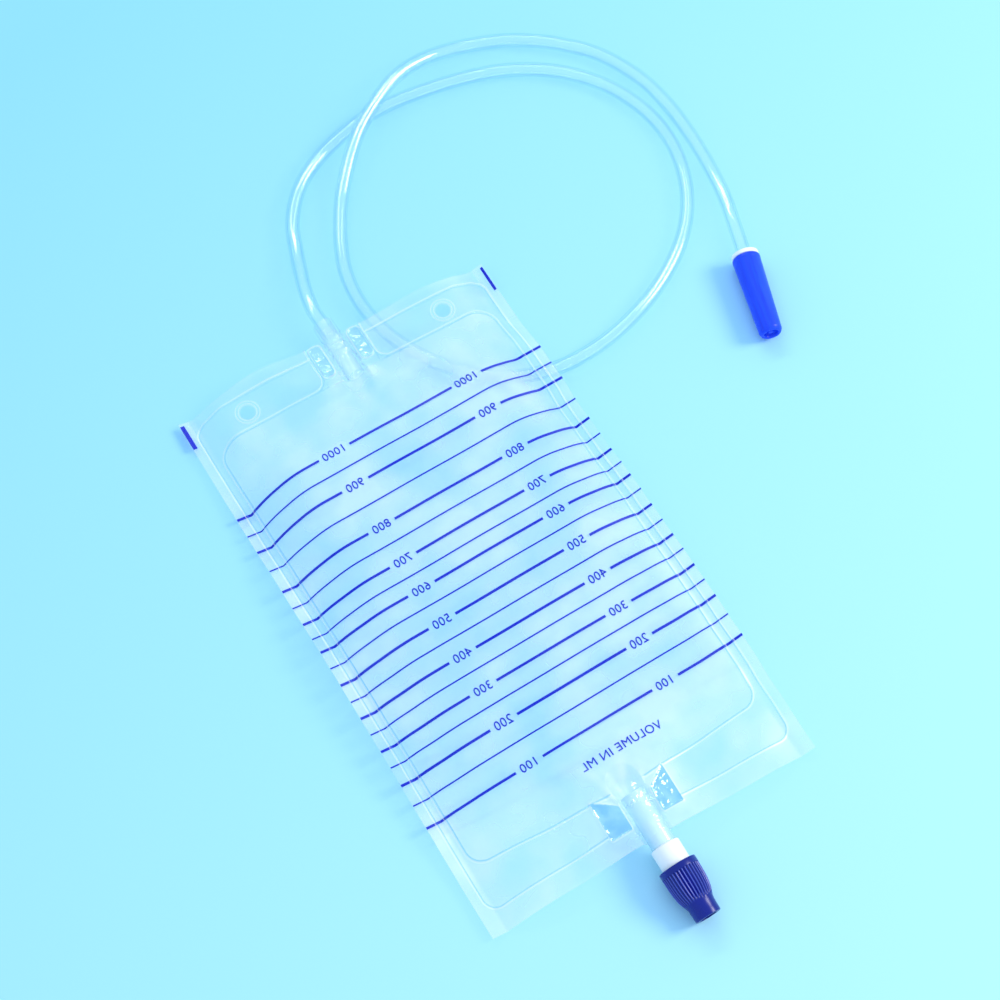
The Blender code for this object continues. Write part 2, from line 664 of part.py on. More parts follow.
def build_valve_body(axis):
    """A spigot in the outlet tube, a round head, a threaded shank and a closed plug at its end."""
    spigot = OUTLET_OUTER / 2 - OUTLET_WALL - RUNNING_CLEARANCE
    outline = [
        (spigot - BODY_EDGE / 2, -BODY_EXPOSED - SPIGOT_LENGTH),
        (spigot, -BODY_EXPOSED - SPIGOT_LENGTH + BODY_EDGE),
        (spigot, -BODY_EXPOSED),
        (BODY_HEAD / 2 - BODY_EDGE, -BODY_EXPOSED),
        (BODY_HEAD / 2, -BODY_EXPOSED + BODY_EDGE),
        (BODY_HEAD / 2, HEAD_IN_SLEEVE),
        (SHANK_OUTER / 2, HEAD_IN_SLEEVE),
        (SHANK_OUTER / 2, SHANK_END),
        (NECK_OUTER / 2, SHANK_END),
        (NECK_OUTER / 2, NECK_END),
        (PLUG_OUTER / 2, PLUG_START),
        (PLUG_OUTER / 2, PLUG_END),
    ]
    white = material("white_valve", (0.95, 0.96, 0.94), 0.35)
    body = add_piece("valve_body", turned_solid(outline), white, axis)
    bore_end = WINDOW_START + WINDOW_LENGTH
    bore = turned_solid([
        (BODY_BORE / 2, -BODY_EXPOSED - SPIGOT_LENGTH - BODY_EDGE), (BODY_BORE / 2, bore_end)],
        sides=BORE_SIDES)
    cut(body, add_piece("body_bore", bore, white, axis))
    for name, turn in (("window_across", 0.0), ("window_along", math.pi / 2)):
        window = bmesh.new()
        bmesh.ops.create_cube(window, size=1.0)
        across = NECK_OUTER + 2 * BODY_EDGE
        bmesh.ops.scale(window, vec=(across, WINDOW_WIDTH, WINDOW_LENGTH), verts=window.verts[:])
        bmesh.ops.translate(window, vec=(0, 0, WINDOW_START + WINDOW_LENGTH / 2), verts=window.verts[:])
        cutter = add_piece(name, window, white, axis)
        cutter.rotation_euler = (0.0, 0.0, turn)
        cut(body, cutter)


def grip_mesh():
    """The sleeve's outside: a plain band at the rim, grip ribs that die out, and a plain nozzle."""
    steps = 4 * GRIP_RIBS
    rib_start, rib_end = BAND_LENGTH, SLEEVE_NECK_AT
    start_radius = SLEEVE_RIM / 2 + (SLEEVE_WAIST - SLEEVE_RIM) / 2 * rib_start / SLEEVE_WAIST_AT
    rings = [
        (SLEEVE_RIM / 2 - SLEEVE_EDGE, 0.0, 0.0),
        (SLEEVE_RIM / 2, SLEEVE_EDGE, 0.0),
        (start_radius, rib_start, 0.0),
        (start_radius, rib_start + GRIP_RIB_DEPTH, 1.0),
        (SLEEVE_WAIST / 2, SLEEVE_WAIST_AT, 1.0),
        (SLEEVE_NECK / 2, rib_end, 1.0),
        (SLEEVE_NECK / 2 - GRIP_RIB_DEPTH, rib_end + SLEEVE_EDGE, 0.0),
        (NOZZLE_OUTER / 2, SLEEVE_LENGTH - SLEEVE_EDGE, 0.0),
        (NOZZLE_OUTER / 2 - SLEEVE_EDGE, SLEEVE_LENGTH, 0.0),
    ]
    bm = bmesh.new()
    loops = []
    for radius, place, ribbed in rings:
        loop = []
        for k in range(steps):
            groove = ribbed * GRIP_RIB_DEPTH if k % 4 in (0, 1) else 0.0
            angle = math.tau * k / steps
            r = radius - groove
            loop.append(bm.verts.new((r * math.cos(angle), r * math.sin(angle), place)))
        loops.append(loop)
    for lower, upper in zip(loops, loops[1:]):
        for k in range(steps):
            nxt = (k + 1) % steps
            bm.faces.new((lower[k], lower[nxt], upper[nxt], upper[k]))
    bm.faces.new(loops[0][::-1])
    bm.faces.new(loops[-1])
    return bm


def build_valve_sleeve(axis):
    """A ribbed sleeve that screws along the shank and lifts its orifice off the plug."""
    shank = SHANK_OUTER / 2 + RUNNING_CLEARANCE
    groove_start = SEAL_AT - SEAL_SECTION / 2 - RUNNING_CLEARANCE
    groove_end = SEAL_AT + SEAL_SECTION / 2 + RUNNING_CLEARANCE
    groove = NECK_OUTER / 2 + SEAL_SECTION + 2 * RUNNING_CLEARANCE
    chamber = NECK_OUTER / 2 + CHAMBER_CLEARANCE
    orifice = PLUG_OUTER / 2 + RUNNING_CLEARANCE
    past = 0.001
    hollow = turned_solid([
        (RIM_BORE / 2, -past),
        (RIM_BORE / 2, RIM_DEPTH),
        (shank, RIM_DEPTH),
        (shank, groove_start),
        (groove, groove_start),
        (groove, groove_end),
        (chamber, groove_end),
        (chamber, NECK_END),
        (orifice, ORIFICE_START),
        (orifice, ORIFICE_END),
        (NOZZLE_BORE / 2, ORIFICE_END),
        (NOZZLE_BORE / 2, SLEEVE_LENGTH + past),
    ])
    navy = material("navy_sleeve", (0.01, 0.02, 0.16), 0.35)
    sleeve = add_piece("valve_sleeve", grip_mesh(), navy, axis)
    cut(sleeve, add_piece("sleeve_hollow", hollow, navy, axis))


def build_valve_seal(axis):
    """A round-section ring on the body's neck, carried in the sleeve's groove."""
    section = SEAL_SECTION / 2
    middle = NECK_OUTER / 2 + RUNNING_CLEARANCE + section
    around = [math.tau * k / SEAL_SIDES for k in range(SEAL_SIDES)]
    profile = [(middle + section * math.cos(a), SEAL_AT + section * math.sin(a)) for a in around]
    add_piece("valve_seal", turned(profile), material("seal_rubber", (0.05, 0.05, 0.05), 0.6), axis)


def footprint_middle():
    """Middle of the bag from the port's mouth to the nozzle's end, along Y."""
    sine, cosine = math.sin(VALVE_TILT), math.cos(VALVE_TILT)
    nozzle_end = RIM_Y - SLEEVE_LENGTH * cosine - (NOZZLE_OUTER / 2 - SLEEVE_EDGE) * sine
    return (PORT_MOUTH_Y + nozzle_end) / 2


def main():
    clear_scene()
    frame = add_empty("bag_frame", matrix=Matrix.Translation((0.0, -footprint_middle(), 0.0)))
    build_films(frame)
    build_port(frame)
    build_tube(frame)
    connector = connector_frame(frame)
    build_connector(connector)
    build_cap(connector)
    valve = valve_frame(frame)
    build_outlet_tube(valve)
    build_valve_body(valve)
    build_valve_sleeve(valve)
    build_valve_seal(valve)


main()
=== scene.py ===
"""Looks of a urine drainage bag lying on its printed face, built round its packed construction."""
import math

import bpy
import numpy as np
from bpy.props import FloatProperty, FloatVectorProperty, IntProperty, PointerProperty, StringProperty
from bpy.types import Operator, Panel, PropertyGroup
from mathutils import Matrix, Vector


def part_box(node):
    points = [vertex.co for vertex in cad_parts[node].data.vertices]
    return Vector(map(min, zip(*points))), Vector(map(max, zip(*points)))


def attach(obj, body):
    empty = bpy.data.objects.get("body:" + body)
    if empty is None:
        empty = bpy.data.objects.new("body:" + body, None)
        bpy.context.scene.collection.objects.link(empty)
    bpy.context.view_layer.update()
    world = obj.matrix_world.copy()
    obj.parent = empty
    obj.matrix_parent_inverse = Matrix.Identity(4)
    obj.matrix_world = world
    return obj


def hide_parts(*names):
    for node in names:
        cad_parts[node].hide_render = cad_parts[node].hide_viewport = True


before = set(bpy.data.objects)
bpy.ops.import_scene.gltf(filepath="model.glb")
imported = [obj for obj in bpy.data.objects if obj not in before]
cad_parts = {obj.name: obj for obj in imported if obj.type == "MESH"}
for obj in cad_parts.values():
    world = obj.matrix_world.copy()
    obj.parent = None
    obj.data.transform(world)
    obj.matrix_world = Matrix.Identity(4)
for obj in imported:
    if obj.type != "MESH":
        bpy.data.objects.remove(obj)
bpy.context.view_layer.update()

bl_info = {
    "name": "Urine drainage bag",
    "version": (1, 0, 0),
    "blender": (4, 5, 0),
    "location": "3D View > Sidebar > Drainage bag",
    "description": "Builds the films, print, fittings, tube and studio of a drainage bag",
    "category": "Object",
}

BAG = "bag"

# Places read from the construction; the film's own frame has its middle as origin
FILM_LOW, FILM_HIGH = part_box("back_film")
MID_Y = (FILM_LOW.y + FILM_HIGH.y) / 2
HALF_WIDTH = (FILM_HIGH.x - FILM_LOW.x) / 2
HALF_LENGTH = (FILM_HIGH.y - FILM_LOW.y) / 2

# Film layout, in metres
WELD_GAP = 0.0003
FILM_THICKNESS = 0.00035
WELD_HEIGHT = FILM_THICKNESS + WELD_GAP / 2
SIDE_FLANGE = 0.0052
SIDE_WELD = 0.0043
TOP_FLANGE = 0.0062
TOP_HEADER = 0.0165
BOTTOM_FLANGE = 0.0105
BOTTOM_HEADER = 0.0205
BOTTOM_SLOPE = 0.0065
POUCH_CORNER = 0.0075
OUTER_CORNER = 0.0065
POUCH_PUFF = 0.0013
PUFF_REACH = 0.014
WELD_OUTER_X = HALF_WIDTH - SIDE_FLANGE
WELD_INNER_X = WELD_OUTER_X - SIDE_WELD
WELD_MIDDLE_X = (WELD_OUTER_X + WELD_INNER_X) / 2
WELD_TOP_OUTER_Y = HALF_LENGTH - TOP_FLANGE
WELD_TOP_INNER_Y = WELD_TOP_OUTER_Y - TOP_HEADER
WELD_BOTTOM_OUTER_Y = -HALF_LENGTH + BOTTOM_FLANGE
WELD_BOTTOM_INNER_Y = WELD_BOTTOM_OUTER_Y + BOTTOM_HEADER

# How the bag lies, as in the construction
PORT_HEIGHT = 0.010
BAG_RISE = 0.019
PORT_SHARE = PORT_HEIGHT / BAG_RISE
SHOULDER = 0.030
FLANGE_CURL = 0.0023
LYING = [
    (-1.00, 0.00, 0.32, 0.00),
    (-0.79, 0.05, 0.37, 0.18),
    (-0.60, 0.18, 0.45, 0.39),
    (-0.32, 0.37, 0.74, 0.47),
    (0.00, 0.45, 0.97, 0.42),
    (0.28, 0.29, 1.00, 0.26),
    (0.56, 0.08, 1.00, 0.16),
    (0.83, 0.00, PORT_SHARE, 0.14),
    (1.00, 0.00, PORT_SHARE, 0.20),
]

# Hanging holes
EYELET_X = 0.0527
EYELET_Y = (WELD_TOP_OUTER_Y + WELD_TOP_INNER_Y) / 2
EYELET_HOLE = 0.007
EYELET_FLAT = 0.015
EYELET_BLEND = 0.010
EYELET_RINGS = (0.0044, 0.0058)

# The welding tool's marks, each by its height and its reach to either side
OUTER_WELD_RELIEF = (0.00024, 0.0009)
INNER_WELD_RELIEF = (0.00026, 0.0010)
PAD_RELIEF = (0.00045, 0.0009)
EYELET_RELIEF = (0.00032, 0.0006)
RIB_RELIEF = (0.0007, 0.0013)

# Port, pads, tube
PORT_OUTER = 0.0104
PORT_BORE = 0.0076
PORT_PROUD = 0.008
PORT_INSIDE = 0.0007
PORT_MOUTH_Y = HALF_LENGTH + PORT_PROUD
PORT_INNER_Y = WELD_TOP_INNER_Y - PORT_INSIDE
RIB_PITCH = 0.0041
RIB_FIRST = 0.0027
RIB_COUNT = 3
RIB_RISE = 0.0009
SOCKET_CLEARANCE = 0.0003
PAD_INNER_PORT = 0.0072
PAD_WIDTH_PORT = 0.0064
PAD_INNER_OUTLET = 0.0078
PAD_WIDTH_OUTLET = 0.0105
PORT_PAD_END = 0.0045
PORT_PAD_CORNER = 0.0024
OUTLET_PAD_END = 0.0042
OUTLET_PAD_SLANT = 0.7
OUTLET_PAD_PAST_WELD = 0.0028
OUTLET_PAD_CORNER = 0.0008
# Painted shade of each pad: how far its colour turns to the darker blue
PAD_PAINTED_SHADES = {"port": 0.26, "outlet_left": 0.55, "outlet_right": 0.5}
BESIDE_PAD = 0.0006
CHANNEL_FLANK = 1.5
PORT_FADE = 0.0112
OUTLET_FADE_FROM = 0.0182

TUBE_DIAMETER = 0.007
TUBE_BORE = 0.0050
TUBE_IN_SOCKET = 0.007
TUBE_REST = TUBE_DIAMETER / 2 + 0.0001
TUBE_OVER = TUBE_REST + TUBE_DIAMETER + 0.0006
LIFT_CLEARANCE = 0.0009
LIFT_HALF_WIDTH = 0.013
LIFT_SLOPE = 0.30
LIFT_BLEND = 0.0015

# Connector and cap, whose axis starts at the cap's rim and runs to its tip
CAP_RIM = 0.0138
CAP_TIP = 0.0109
CAP_LENGTH = 0.0426
CONNECTOR_AT = (0.1928, 0.0784)
CONNECTOR_HEADING = (-0.2958, -0.9553)
FLANGE_THICKNESS = 0.0022
TAPER_LENGTH = 0.0355
TAPER_ROOT = 0.0106
TAPER_TIP = 0.0066

# Valve, whose axis starts at the sleeve's rim and runs to the nozzle
VALVE_TILT = math.radians(6.0)
RIM_Y = -HALF_LENGTH - 0.0147
SLEEVE_LENGTH = 0.0253
SLEEVE_RIM = 0.0178
SLEEVE_WAIST = 0.0170
SLEEVE_WAIST_AT = 0.0100
SLEEVE_NECK = 0.0146
SLEEVE_NECK_AT = 0.0172
NOZZLE_OUTER = 0.0122
OUTLET_OUTER = 0.0115
OUTLET_WALL = 0.0014
OUTLET_START = 0.036
OUTLET_INNER_Y = RIM_Y + OUTLET_START * math.cos(VALVE_TILT)
BODY_EXPOSED = 0.0099
BODY_HEAD = 0.0135
BODY_EDGE = 0.0008
BODY_BORE = 0.0046
SPIGOT_LENGTH = 0.012
SPIGOT_OUTER = OUTLET_OUTER - 2 * OUTLET_WALL - 0.0006
HEAD_IN_SLEEVE = 0.002
SHANK_END = 0.0082
SHANK_OUTER = 0.0114
NECK_END = 0.0156
NECK_OUTER = 0.0086
PLUG_START = 0.0170
PLUG_END = 0.0184
PLUG_OUTER = 0.0056
WINDOW_START = 0.0134
WINDOW_END = 0.0149
WINDOW_WIDTH = 0.0030
BORE_END = 0.0150
OUTLET_LIFT_FULL = 0.009
OUTLET_LIFT_REACH = 0.042
OUTLET_LIFT_FADE = 0.034

# The tube's way from the port to the connector; where no height is given, it lies on the floor
TUBE_ROUTE = [
    (0.0000, 0.1605, PORT_HEIGHT), (0.0022, 0.1718, 0.0087), (0.0062, 0.1842, 0.0063),
    (0.0106, 0.1966, 0.0044), (0.0158, 0.2097), (0.0240, 0.2213), (0.0336, 0.2302), (0.0455, 0.2369),
    (0.0598, 0.2421), (0.0751, 0.2457), (0.0910, 0.2467), (0.1076, 0.2452), (0.1287, 0.2416),
    (0.1487, 0.2354), (0.1666, 0.2257), (0.1813, 0.2125), (0.1921, 0.1967), (0.1985, 0.1790),
    (0.2003, 0.1609), (0.1974, 0.1435), (0.1909, 0.1274), (0.1811, 0.1130), (0.1674, 0.1002),
    (0.1499, 0.0893), (0.1329, 0.0822), (0.1150, 0.0774), (0.0988, 0.0756), (0.0837, 0.0765),
    (0.0680, 0.0812), (0.0530, 0.0906), (0.0400, 0.1046), (0.0300, 0.1214), (0.0241, 0.1395),
    (0.0226, 0.1570), (0.0250, 0.1733), (0.0304, 0.1876), (0.0372, 0.2004), (0.0453, 0.2125, 0.0044),
    (0.0566, 0.2253, 0.0078), (0.0690, 0.2364, TUBE_OVER), (0.0842, 0.2467, TUBE_OVER),
    (0.1000, 0.2545, TUBE_OVER), (0.1186, 0.2590, 0.0076), (0.1384, 0.2580, 0.0042), (0.1580, 0.2514),
    (0.1712, 0.2437), (0.1834, 0.2338), (0.1975, 0.2176), (0.2071, 0.1954), (0.2104, 0.1745),
    (0.2102, 0.1540), (0.2082, 0.1350, 0.0041), (0.2045, 0.1160, 0.0055),
]
TUBE_STRAIGHT_BEFORE_CONNECTOR = (0.026, 0.013)
UNDER_BAG = slice(26, 35)

# The scale's lines, from 1000 down to 100 in steps of 50, by their place along the bag
SCALE_LINES = [
    0.0862, 0.0763, 0.0667, 0.0549, 0.0427, 0.0332, 0.0234, 0.0150, 0.0072, -0.0016,
    -0.0108, -0.0198, -0.0286, -0.0371, -0.0462, -0.0546, -0.0636, -0.0738, -0.0852,
]
SCALE_SLANT = 0.022
REGISTER_MARK_Y = 0.1340

# Turned pieces: the radius of a ring that closes to a point, what merges, and the angle shaded smooth
POLE = 0.0000002
MERGE = 0.000001
TURNED_SMOOTH = math.radians(32)


# Helpers for values along the film

def smooth(t):
    t = np.clip(t, 0.0, 1.0)
    return t * t * (3.0 - 2.0 * t)


def smooth_max(a, b, blend):
    near = np.maximum(blend - np.abs(a - b), 0.0) / blend
    return np.maximum(a, b) + near * near * blend / 4.0


def bump(distance, width):
    """A round ridge: 1 on the line and 0 from width away."""
    t = np.clip(1.0 - np.abs(distance) / width, 0.0, 1.0)
    return t * t * (3.0 - 2.0 * t)


def ridge(relief, distance):
    """A round ridge of a given height and reach."""
    height, width = relief
    return height * bump(distance, width)


def rounded_box(x, y, cx, cy, half_x, half_y, corner):
    """Distance outside a rectangle with round corners, negative inside."""
    dx = np.abs(x - cx) - (half_x - corner)
    dy = np.abs(y - cy) - (half_y - corner)
    outside = np.hypot(np.maximum(dx, 0.0), np.maximum(dy, 0.0))
    return outside + np.minimum(np.maximum(dx, dy), 0.0) - corner


def distance_to_path(x, y, path):
    nearest = np.full(x.shape, 1.0)
    for a, b in zip(path, path[1:]):
        along = b - a
        t = np.clip(((x - a.x) * along.x + (y - a.y) * along.y) / along.length_squared, 0.0, 1.0)
        nearest = np.minimum(nearest, np.hypot(x - a.x - along.x * t, y - a.y - along.y * t))
    return nearest


HIDDEN_ROUTE = [Vector(spot[:2]) for spot in TUBE_ROUTE[UNDER_BAG]]


def rim_height():
    """Height of the valve's axis at the sleeve's rim, with the tilted sleeve lying on the floor."""
    outline = [(SLEEVE_RIM / 2, 0.0), (SLEEVE_WAIST / 2, SLEEVE_WAIST_AT),
               (SLEEVE_NECK / 2, SLEEVE_NECK_AT), (NOZZLE_OUTER / 2, SLEEVE_LENGTH)]
    return max(place * math.sin(VALVE_TILT) + radius * math.cos(VALVE_TILT) for radius, place in outline)


def lying_height(x, y):
    """Height of the plane between the films, before what lifts them."""
    share = np.clip(y / HALF_LENGTH, -1.0, 1.0)
    left, middle, right = (np.zeros(share.shape) for _ in range(3))
    for low, high in zip(LYING, LYING[1:]):
        here = (share >= low[0]) & (share <= high[0])
        t = smooth((share - low[0]) / (high[0] - low[0]))
        for values, a, b in zip((left, middle, right), low[1:], high[1:]):
            values[here] = (BAG_RISE * (a + (b - a) * t))[here]
    weld = np.maximum(np.where(x < 0, left, right), WELD_HEIGHT)
    across = np.clip((WELD_MIDDLE_X - np.abs(x)) / SHOULDER, 0.0, 1.0)
    outside = np.maximum(np.abs(x) - WELD_MIDDLE_X, 0.0) / (HALF_WIDTH - WELD_MIDDLE_X)
    return weld + (middle - weld) * (1.0 - (1.0 - across) ** 2) + FLANGE_CURL * outside


def parting_height(x, y):
    """Height of the plane between the two films."""
    height = lying_height(x, y)
    for ex in (-EYELET_X, EYELET_X):
        beyond = np.maximum(np.abs(x - ex), np.abs(y - EYELET_Y)) - EYELET_FLAT / 2
        flat = 1.0 - smooth(beyond / EYELET_BLEND)
        centre = lying_height(np.array([ex]), np.array([EYELET_Y]))[0]
        height = height + (centre - height) * flat
    over_tube = TUBE_REST + TUBE_DIAMETER / 2 + LIFT_CLEARANCE + FILM_THICKNESS + WELD_GAP / 2
    away = np.maximum(distance_to_path(x, y, HIDDEN_ROUTE) - LIFT_HALF_WIDTH, 0.0)
    height = smooth_max(height, over_tube - LIFT_SLOPE * away, LIFT_BLEND)
    beside = 1.0 - smooth((np.abs(x) - OUTLET_LIFT_FULL) / (OUTLET_LIFT_REACH - OUTLET_LIFT_FULL))
    inwards = 1.0 - smooth((y - WELD_BOTTOM_INNER_Y) / OUTLET_LIFT_FADE)
    held = beside * inwards
    valve_axis = rim_height() + (y - RIM_Y) * math.tan(VALVE_TILT)
    return height * (1.0 - held) + valve_axis * held


def pouch_bottom(x):
    return WELD_BOTTOM_INNER_Y - BOTTOM_SLOPE * (1.0 - np.abs(x) / WELD_INNER_X)


def inside_pouch(x, y):
    """How far a point lies inside the pouch's outline, whose corners are round."""
    bottom = pouch_bottom(x)
    middle = (WELD_TOP_INNER_Y + bottom) / 2
    reach_x = WELD_INNER_X - POUCH_CORNER - np.abs(x)
    reach_y = (WELD_TOP_INNER_Y - bottom) / 2 - POUCH_CORNER - np.abs(y - middle)
    corner = (reach_x < 0) & (reach_y < 0)
    return POUCH_CORNER + np.where(corner, -np.hypot(reach_x, reach_y), np.minimum(reach_x, reach_y))


def channel(x, radius):
    """Half height of the film's channel over a round piece: its arc, then a straight flank."""
    touch = radius * CHANNEL_FLANK / math.hypot(1.0, CHANNEL_FLANK)
    arc = np.sqrt(np.maximum(radius * radius - x * x, 0.0))
    flank = np.maximum(math.sqrt(radius * radius - touch * touch) - CHANNEL_FLANK * (np.abs(x) - touch), 0.0)
    return np.where(np.abs(x) <= touch, arc, flank)


def half_gap(x, y):
    """Half the space between the films."""
    puff = POUCH_PUFF * smooth(inside_pouch(x, y) / PUFF_REACH)
    port_fade = smooth((y - (PORT_INNER_Y - PUFF_REACH)) / PORT_FADE)
    port = channel(x, PORT_OUTER / 2 + SOCKET_CLEARANCE) * port_fade
    outlet_fade = smooth((OUTLET_INNER_Y + OUTLET_FADE_FROM - y) / PUFF_REACH)
    outlet = channel(x, OUTLET_OUTER / 2 + SOCKET_CLEARANCE) * outlet_fade
    return WELD_GAP / 2 + np.maximum(puff, np.maximum(port, outlet))


# Marks pressed into the films by the welding tool, and the creases of the film

def port_pads(x, y):
    """Distance outside the two pads beside the port."""
    low, high = WELD_TOP_INNER_Y + PORT_PAD_END, HALF_LENGTH - BESIDE_PAD
    centre, half = PAD_INNER_PORT + PAD_WIDTH_PORT / 2, (high - low) / 2
    return rounded_box(np.abs(x), y, centre, (low + high) / 2, PAD_WIDTH_PORT / 2, half, PORT_PAD_CORNER)


def outlet_pads(x, y):
    """Distance outside the two pads beside the outlet, whose inner ends are cut on the slant."""
    cut = OUTLET_PAD_SLANT * (PAD_INNER_OUTLET + PAD_WIDTH_OUTLET - np.abs(x))
    low, high = WELD_BOTTOM_OUTER_Y - OUTLET_PAD_PAST_WELD, WELD_BOTTOM_INNER_Y - OUTLET_PAD_END - cut
    centre, half = PAD_INNER_OUTLET + PAD_WIDTH_OUTLET / 2, (high - low) / 2
    return rounded_box(np.abs(x), y, centre, (low + high) / 2, PAD_WIDTH_OUTLET / 2, half, OUTLET_PAD_CORNER)


def over_fitting(x, y):
    """Where the upper film clings to the port and to the outlet tube."""
    port = (np.abs(x) < PAD_INNER_PORT - BESIDE_PAD) & (y > PORT_INNER_Y - 0.004)
    outlet = (np.abs(x) < PAD_INNER_OUTLET - BESIDE_PAD) & (y < OUTLET_INNER_Y + 0.006)
    return port | outlet


def clinging_ribs(x, y):
    """The port's ribs showing through the film that clings to them."""
    relief = np.zeros(x.shape)
    for k in range(RIB_COUNT):
        rib = HALF_LENGTH - RIB_FIRST - RIB_PITCH * k
        relief += ridge(RIB_RELIEF, y - rib) * smooth((PORT_OUTER / 2 - np.abs(x)) / 0.003)
    return relief


def past_stop(signed, beyond):
    """Keeps a line's signed distance, growing away where the line has stopped."""
    return np.where(signed < 0, -1.0, 1.0) * (np.abs(signed) + np.maximum(beyond, 0.0))


def outer_weld(x, y):
    """Signed distance from the outer weld line, which stops at the pads."""
    half_y = (WELD_TOP_OUTER_Y - WELD_BOTTOM_OUTER_Y) / 2
    middle = (WELD_TOP_OUTER_Y + WELD_BOTTOM_OUTER_Y) / 2
    line = rounded_box(x, y, 0.0, middle, WELD_OUTER_X, half_y, OUTER_CORNER)
    stop = np.where(y > 0, PAD_INNER_PORT + PAD_WIDTH_PORT, PAD_INNER_OUTLET + PAD_WIDTH_OUTLET)
    return past_stop(line, stop - np.abs(x))


def inner_weld(x, y):
    """Signed distance from the inner weld line, which turns up along the port's pads to the edge."""
    neck_half = PAD_INNER_PORT + PAD_WIDTH_PORT + 0.0004
    neck = np.maximum(np.abs(x) - neck_half, WELD_TOP_INNER_Y - 0.02 - y)
    pouch = -inside_pouch(x, y)
    turn = 0.0065
    both = np.hypot(np.maximum(turn - neck, 0.0), np.maximum(turn - pouch, 0.0))
    joined = np.where((neck > 0) & (pouch > 0) & (neck < turn) & (pouch < turn),
                      turn - both, np.minimum(neck, pouch))
    return past_stop(joined, np.where(y < 0, PAD_INNER_OUTLET + 0.001 - np.abs(x), 0.0))


def fans(x, y):
    """Soft folds that run out from the port and from the outlet."""
    folds = np.zeros(x.shape)
    bundles = [
        (0.001, PORT_INNER_Y + 0.014, -1.0, 0.0008,
         ((-0.62, 0.30, 0.075), (-0.10, 0.20, 0.060), (0.34, 0.28, 0.080))),
        (-0.002, RIM_Y + OUTLET_START - 0.010, 1.0, 0.0011,
         ((-0.86, 0.26, 0.040), (-0.42, 0.15, 0.050), (-0.12, 0.12, 0.032), (0.16, 0.16, 0.042),
          (0.52, 0.14, 0.030), (0.98, 0.30, 0.044))),
    ]
    for cx, cy, way, height, rays in bundles:
        dx, dy = x - cx, (y - cy) * way
        far = np.hypot(dx, dy)
        angle = np.arctan2(dx, np.maximum(dy, 1e-6))
        for turn, width, reach in rays:
            rise = smooth(far / 0.010) * (1.0 - smooth(far / reach)) * (dy > 0)
            wander = 0.07 * np.sin(far * 210.0 + turn * 9.0)
            swell = 0.7 + 0.3 * np.sin(far * 330.0 + turn * 5.0)
            folds += height * rise * swell * bump(angle - turn - wander, width)
    return folds


def creases(x, y):
    """The folds, faint ripples along the welds, and the flanges' waves."""
    folds = fans(x, y)
    inside = smooth(inside_pouch(x, y) / 0.012)
    ripples = (np.sin(x * 61.0 + 1.3 * np.sin(y * 33.0)) * np.sin(y * 47.0 + 0.8)
               + 0.6 * np.sin(x * 117.0 + y * 29.0 + 0.5))
    folds += 0.00028 * ripples * inside
    edge = 1.0 - smooth((WELD_INNER_X - np.abs(x)) / 0.016)
    folds += 0.00022 * np.sin(y * 310.0 + 2.0 * np.sin(y * 71.0) + np.sign(x)) * edge
    flange = smooth((y - WELD_TOP_OUTER_Y + 0.003) / 0.0085)
    folds += flange * (0.0052 * bump(x + 0.040, 0.027) + 0.0028 * bump(x - 0.047, 0.030))
    lower = 1.0 - smooth((y - WELD_BOTTOM_OUTER_Y) / 0.012)
    beside = smooth((np.abs(x) - 0.022) / 0.02)
    folds += 0.0008 * (0.5 + 0.5 * np.sin(x * 96.0 + 0.4)) * lower * beside
    return folds


def pressed_relief(x, y):
    """Height of the welding tool's marks: ridges along the weld lines, pad rims and eyelet rings."""
    relief = ridge(OUTER_WELD_RELIEF, outer_weld(x, y)) + ridge(INNER_WELD_RELIEF, inner_weld(x, y))
    for pads in (port_pads(x, y), outlet_pads(x, y)):
        relief += ridge(PAD_RELIEF, pads) - 0.0002 * smooth(-pads / 0.0012)
    for ex in (-EYELET_X, EYELET_X):
        far = np.hypot(x - ex, y - EYELET_Y)
        for ring in EYELET_RINGS:
            relief += ridge(EYELET_RELIEF, far - ring)
    return relief


def film_middle(x, y):
    """The films' parting plane with its creases and pressed marks, in the film's own frame."""
    clear_of_tube = smooth((distance_to_path(x, y, HIDDEN_ROUTE) - 0.004) / 0.01)
    shape = parting_height(x, y) + pressed_relief(x, y)
    folds = creases(x, y)
    return shape + np.where(folds < 0, folds * clear_of_tube, folds)


def film_face(side, x, y):
    """The face of a film that looks at the other film: side +1 is the upper film, -1 the lower."""
    face = film_middle(x, y) + side * half_gap(x, y)
    return face + clinging_ribs(x, y) if side > 0 else face


# Modelling helpers, all by the usual operators

def deselect():
    if bpy.context.object and bpy.context.object.mode != "OBJECT":
        bpy.ops.object.mode_set(mode="OBJECT")
    bpy.ops.object.select_all(action="DESELECT")


def only(obj):
    deselect()
    obj.select_set(True)
    bpy.context.view_layer.objects.active = obj


def named(name):
    obj = bpy.context.object
    obj.name = name
    obj.data.name = name
    return obj


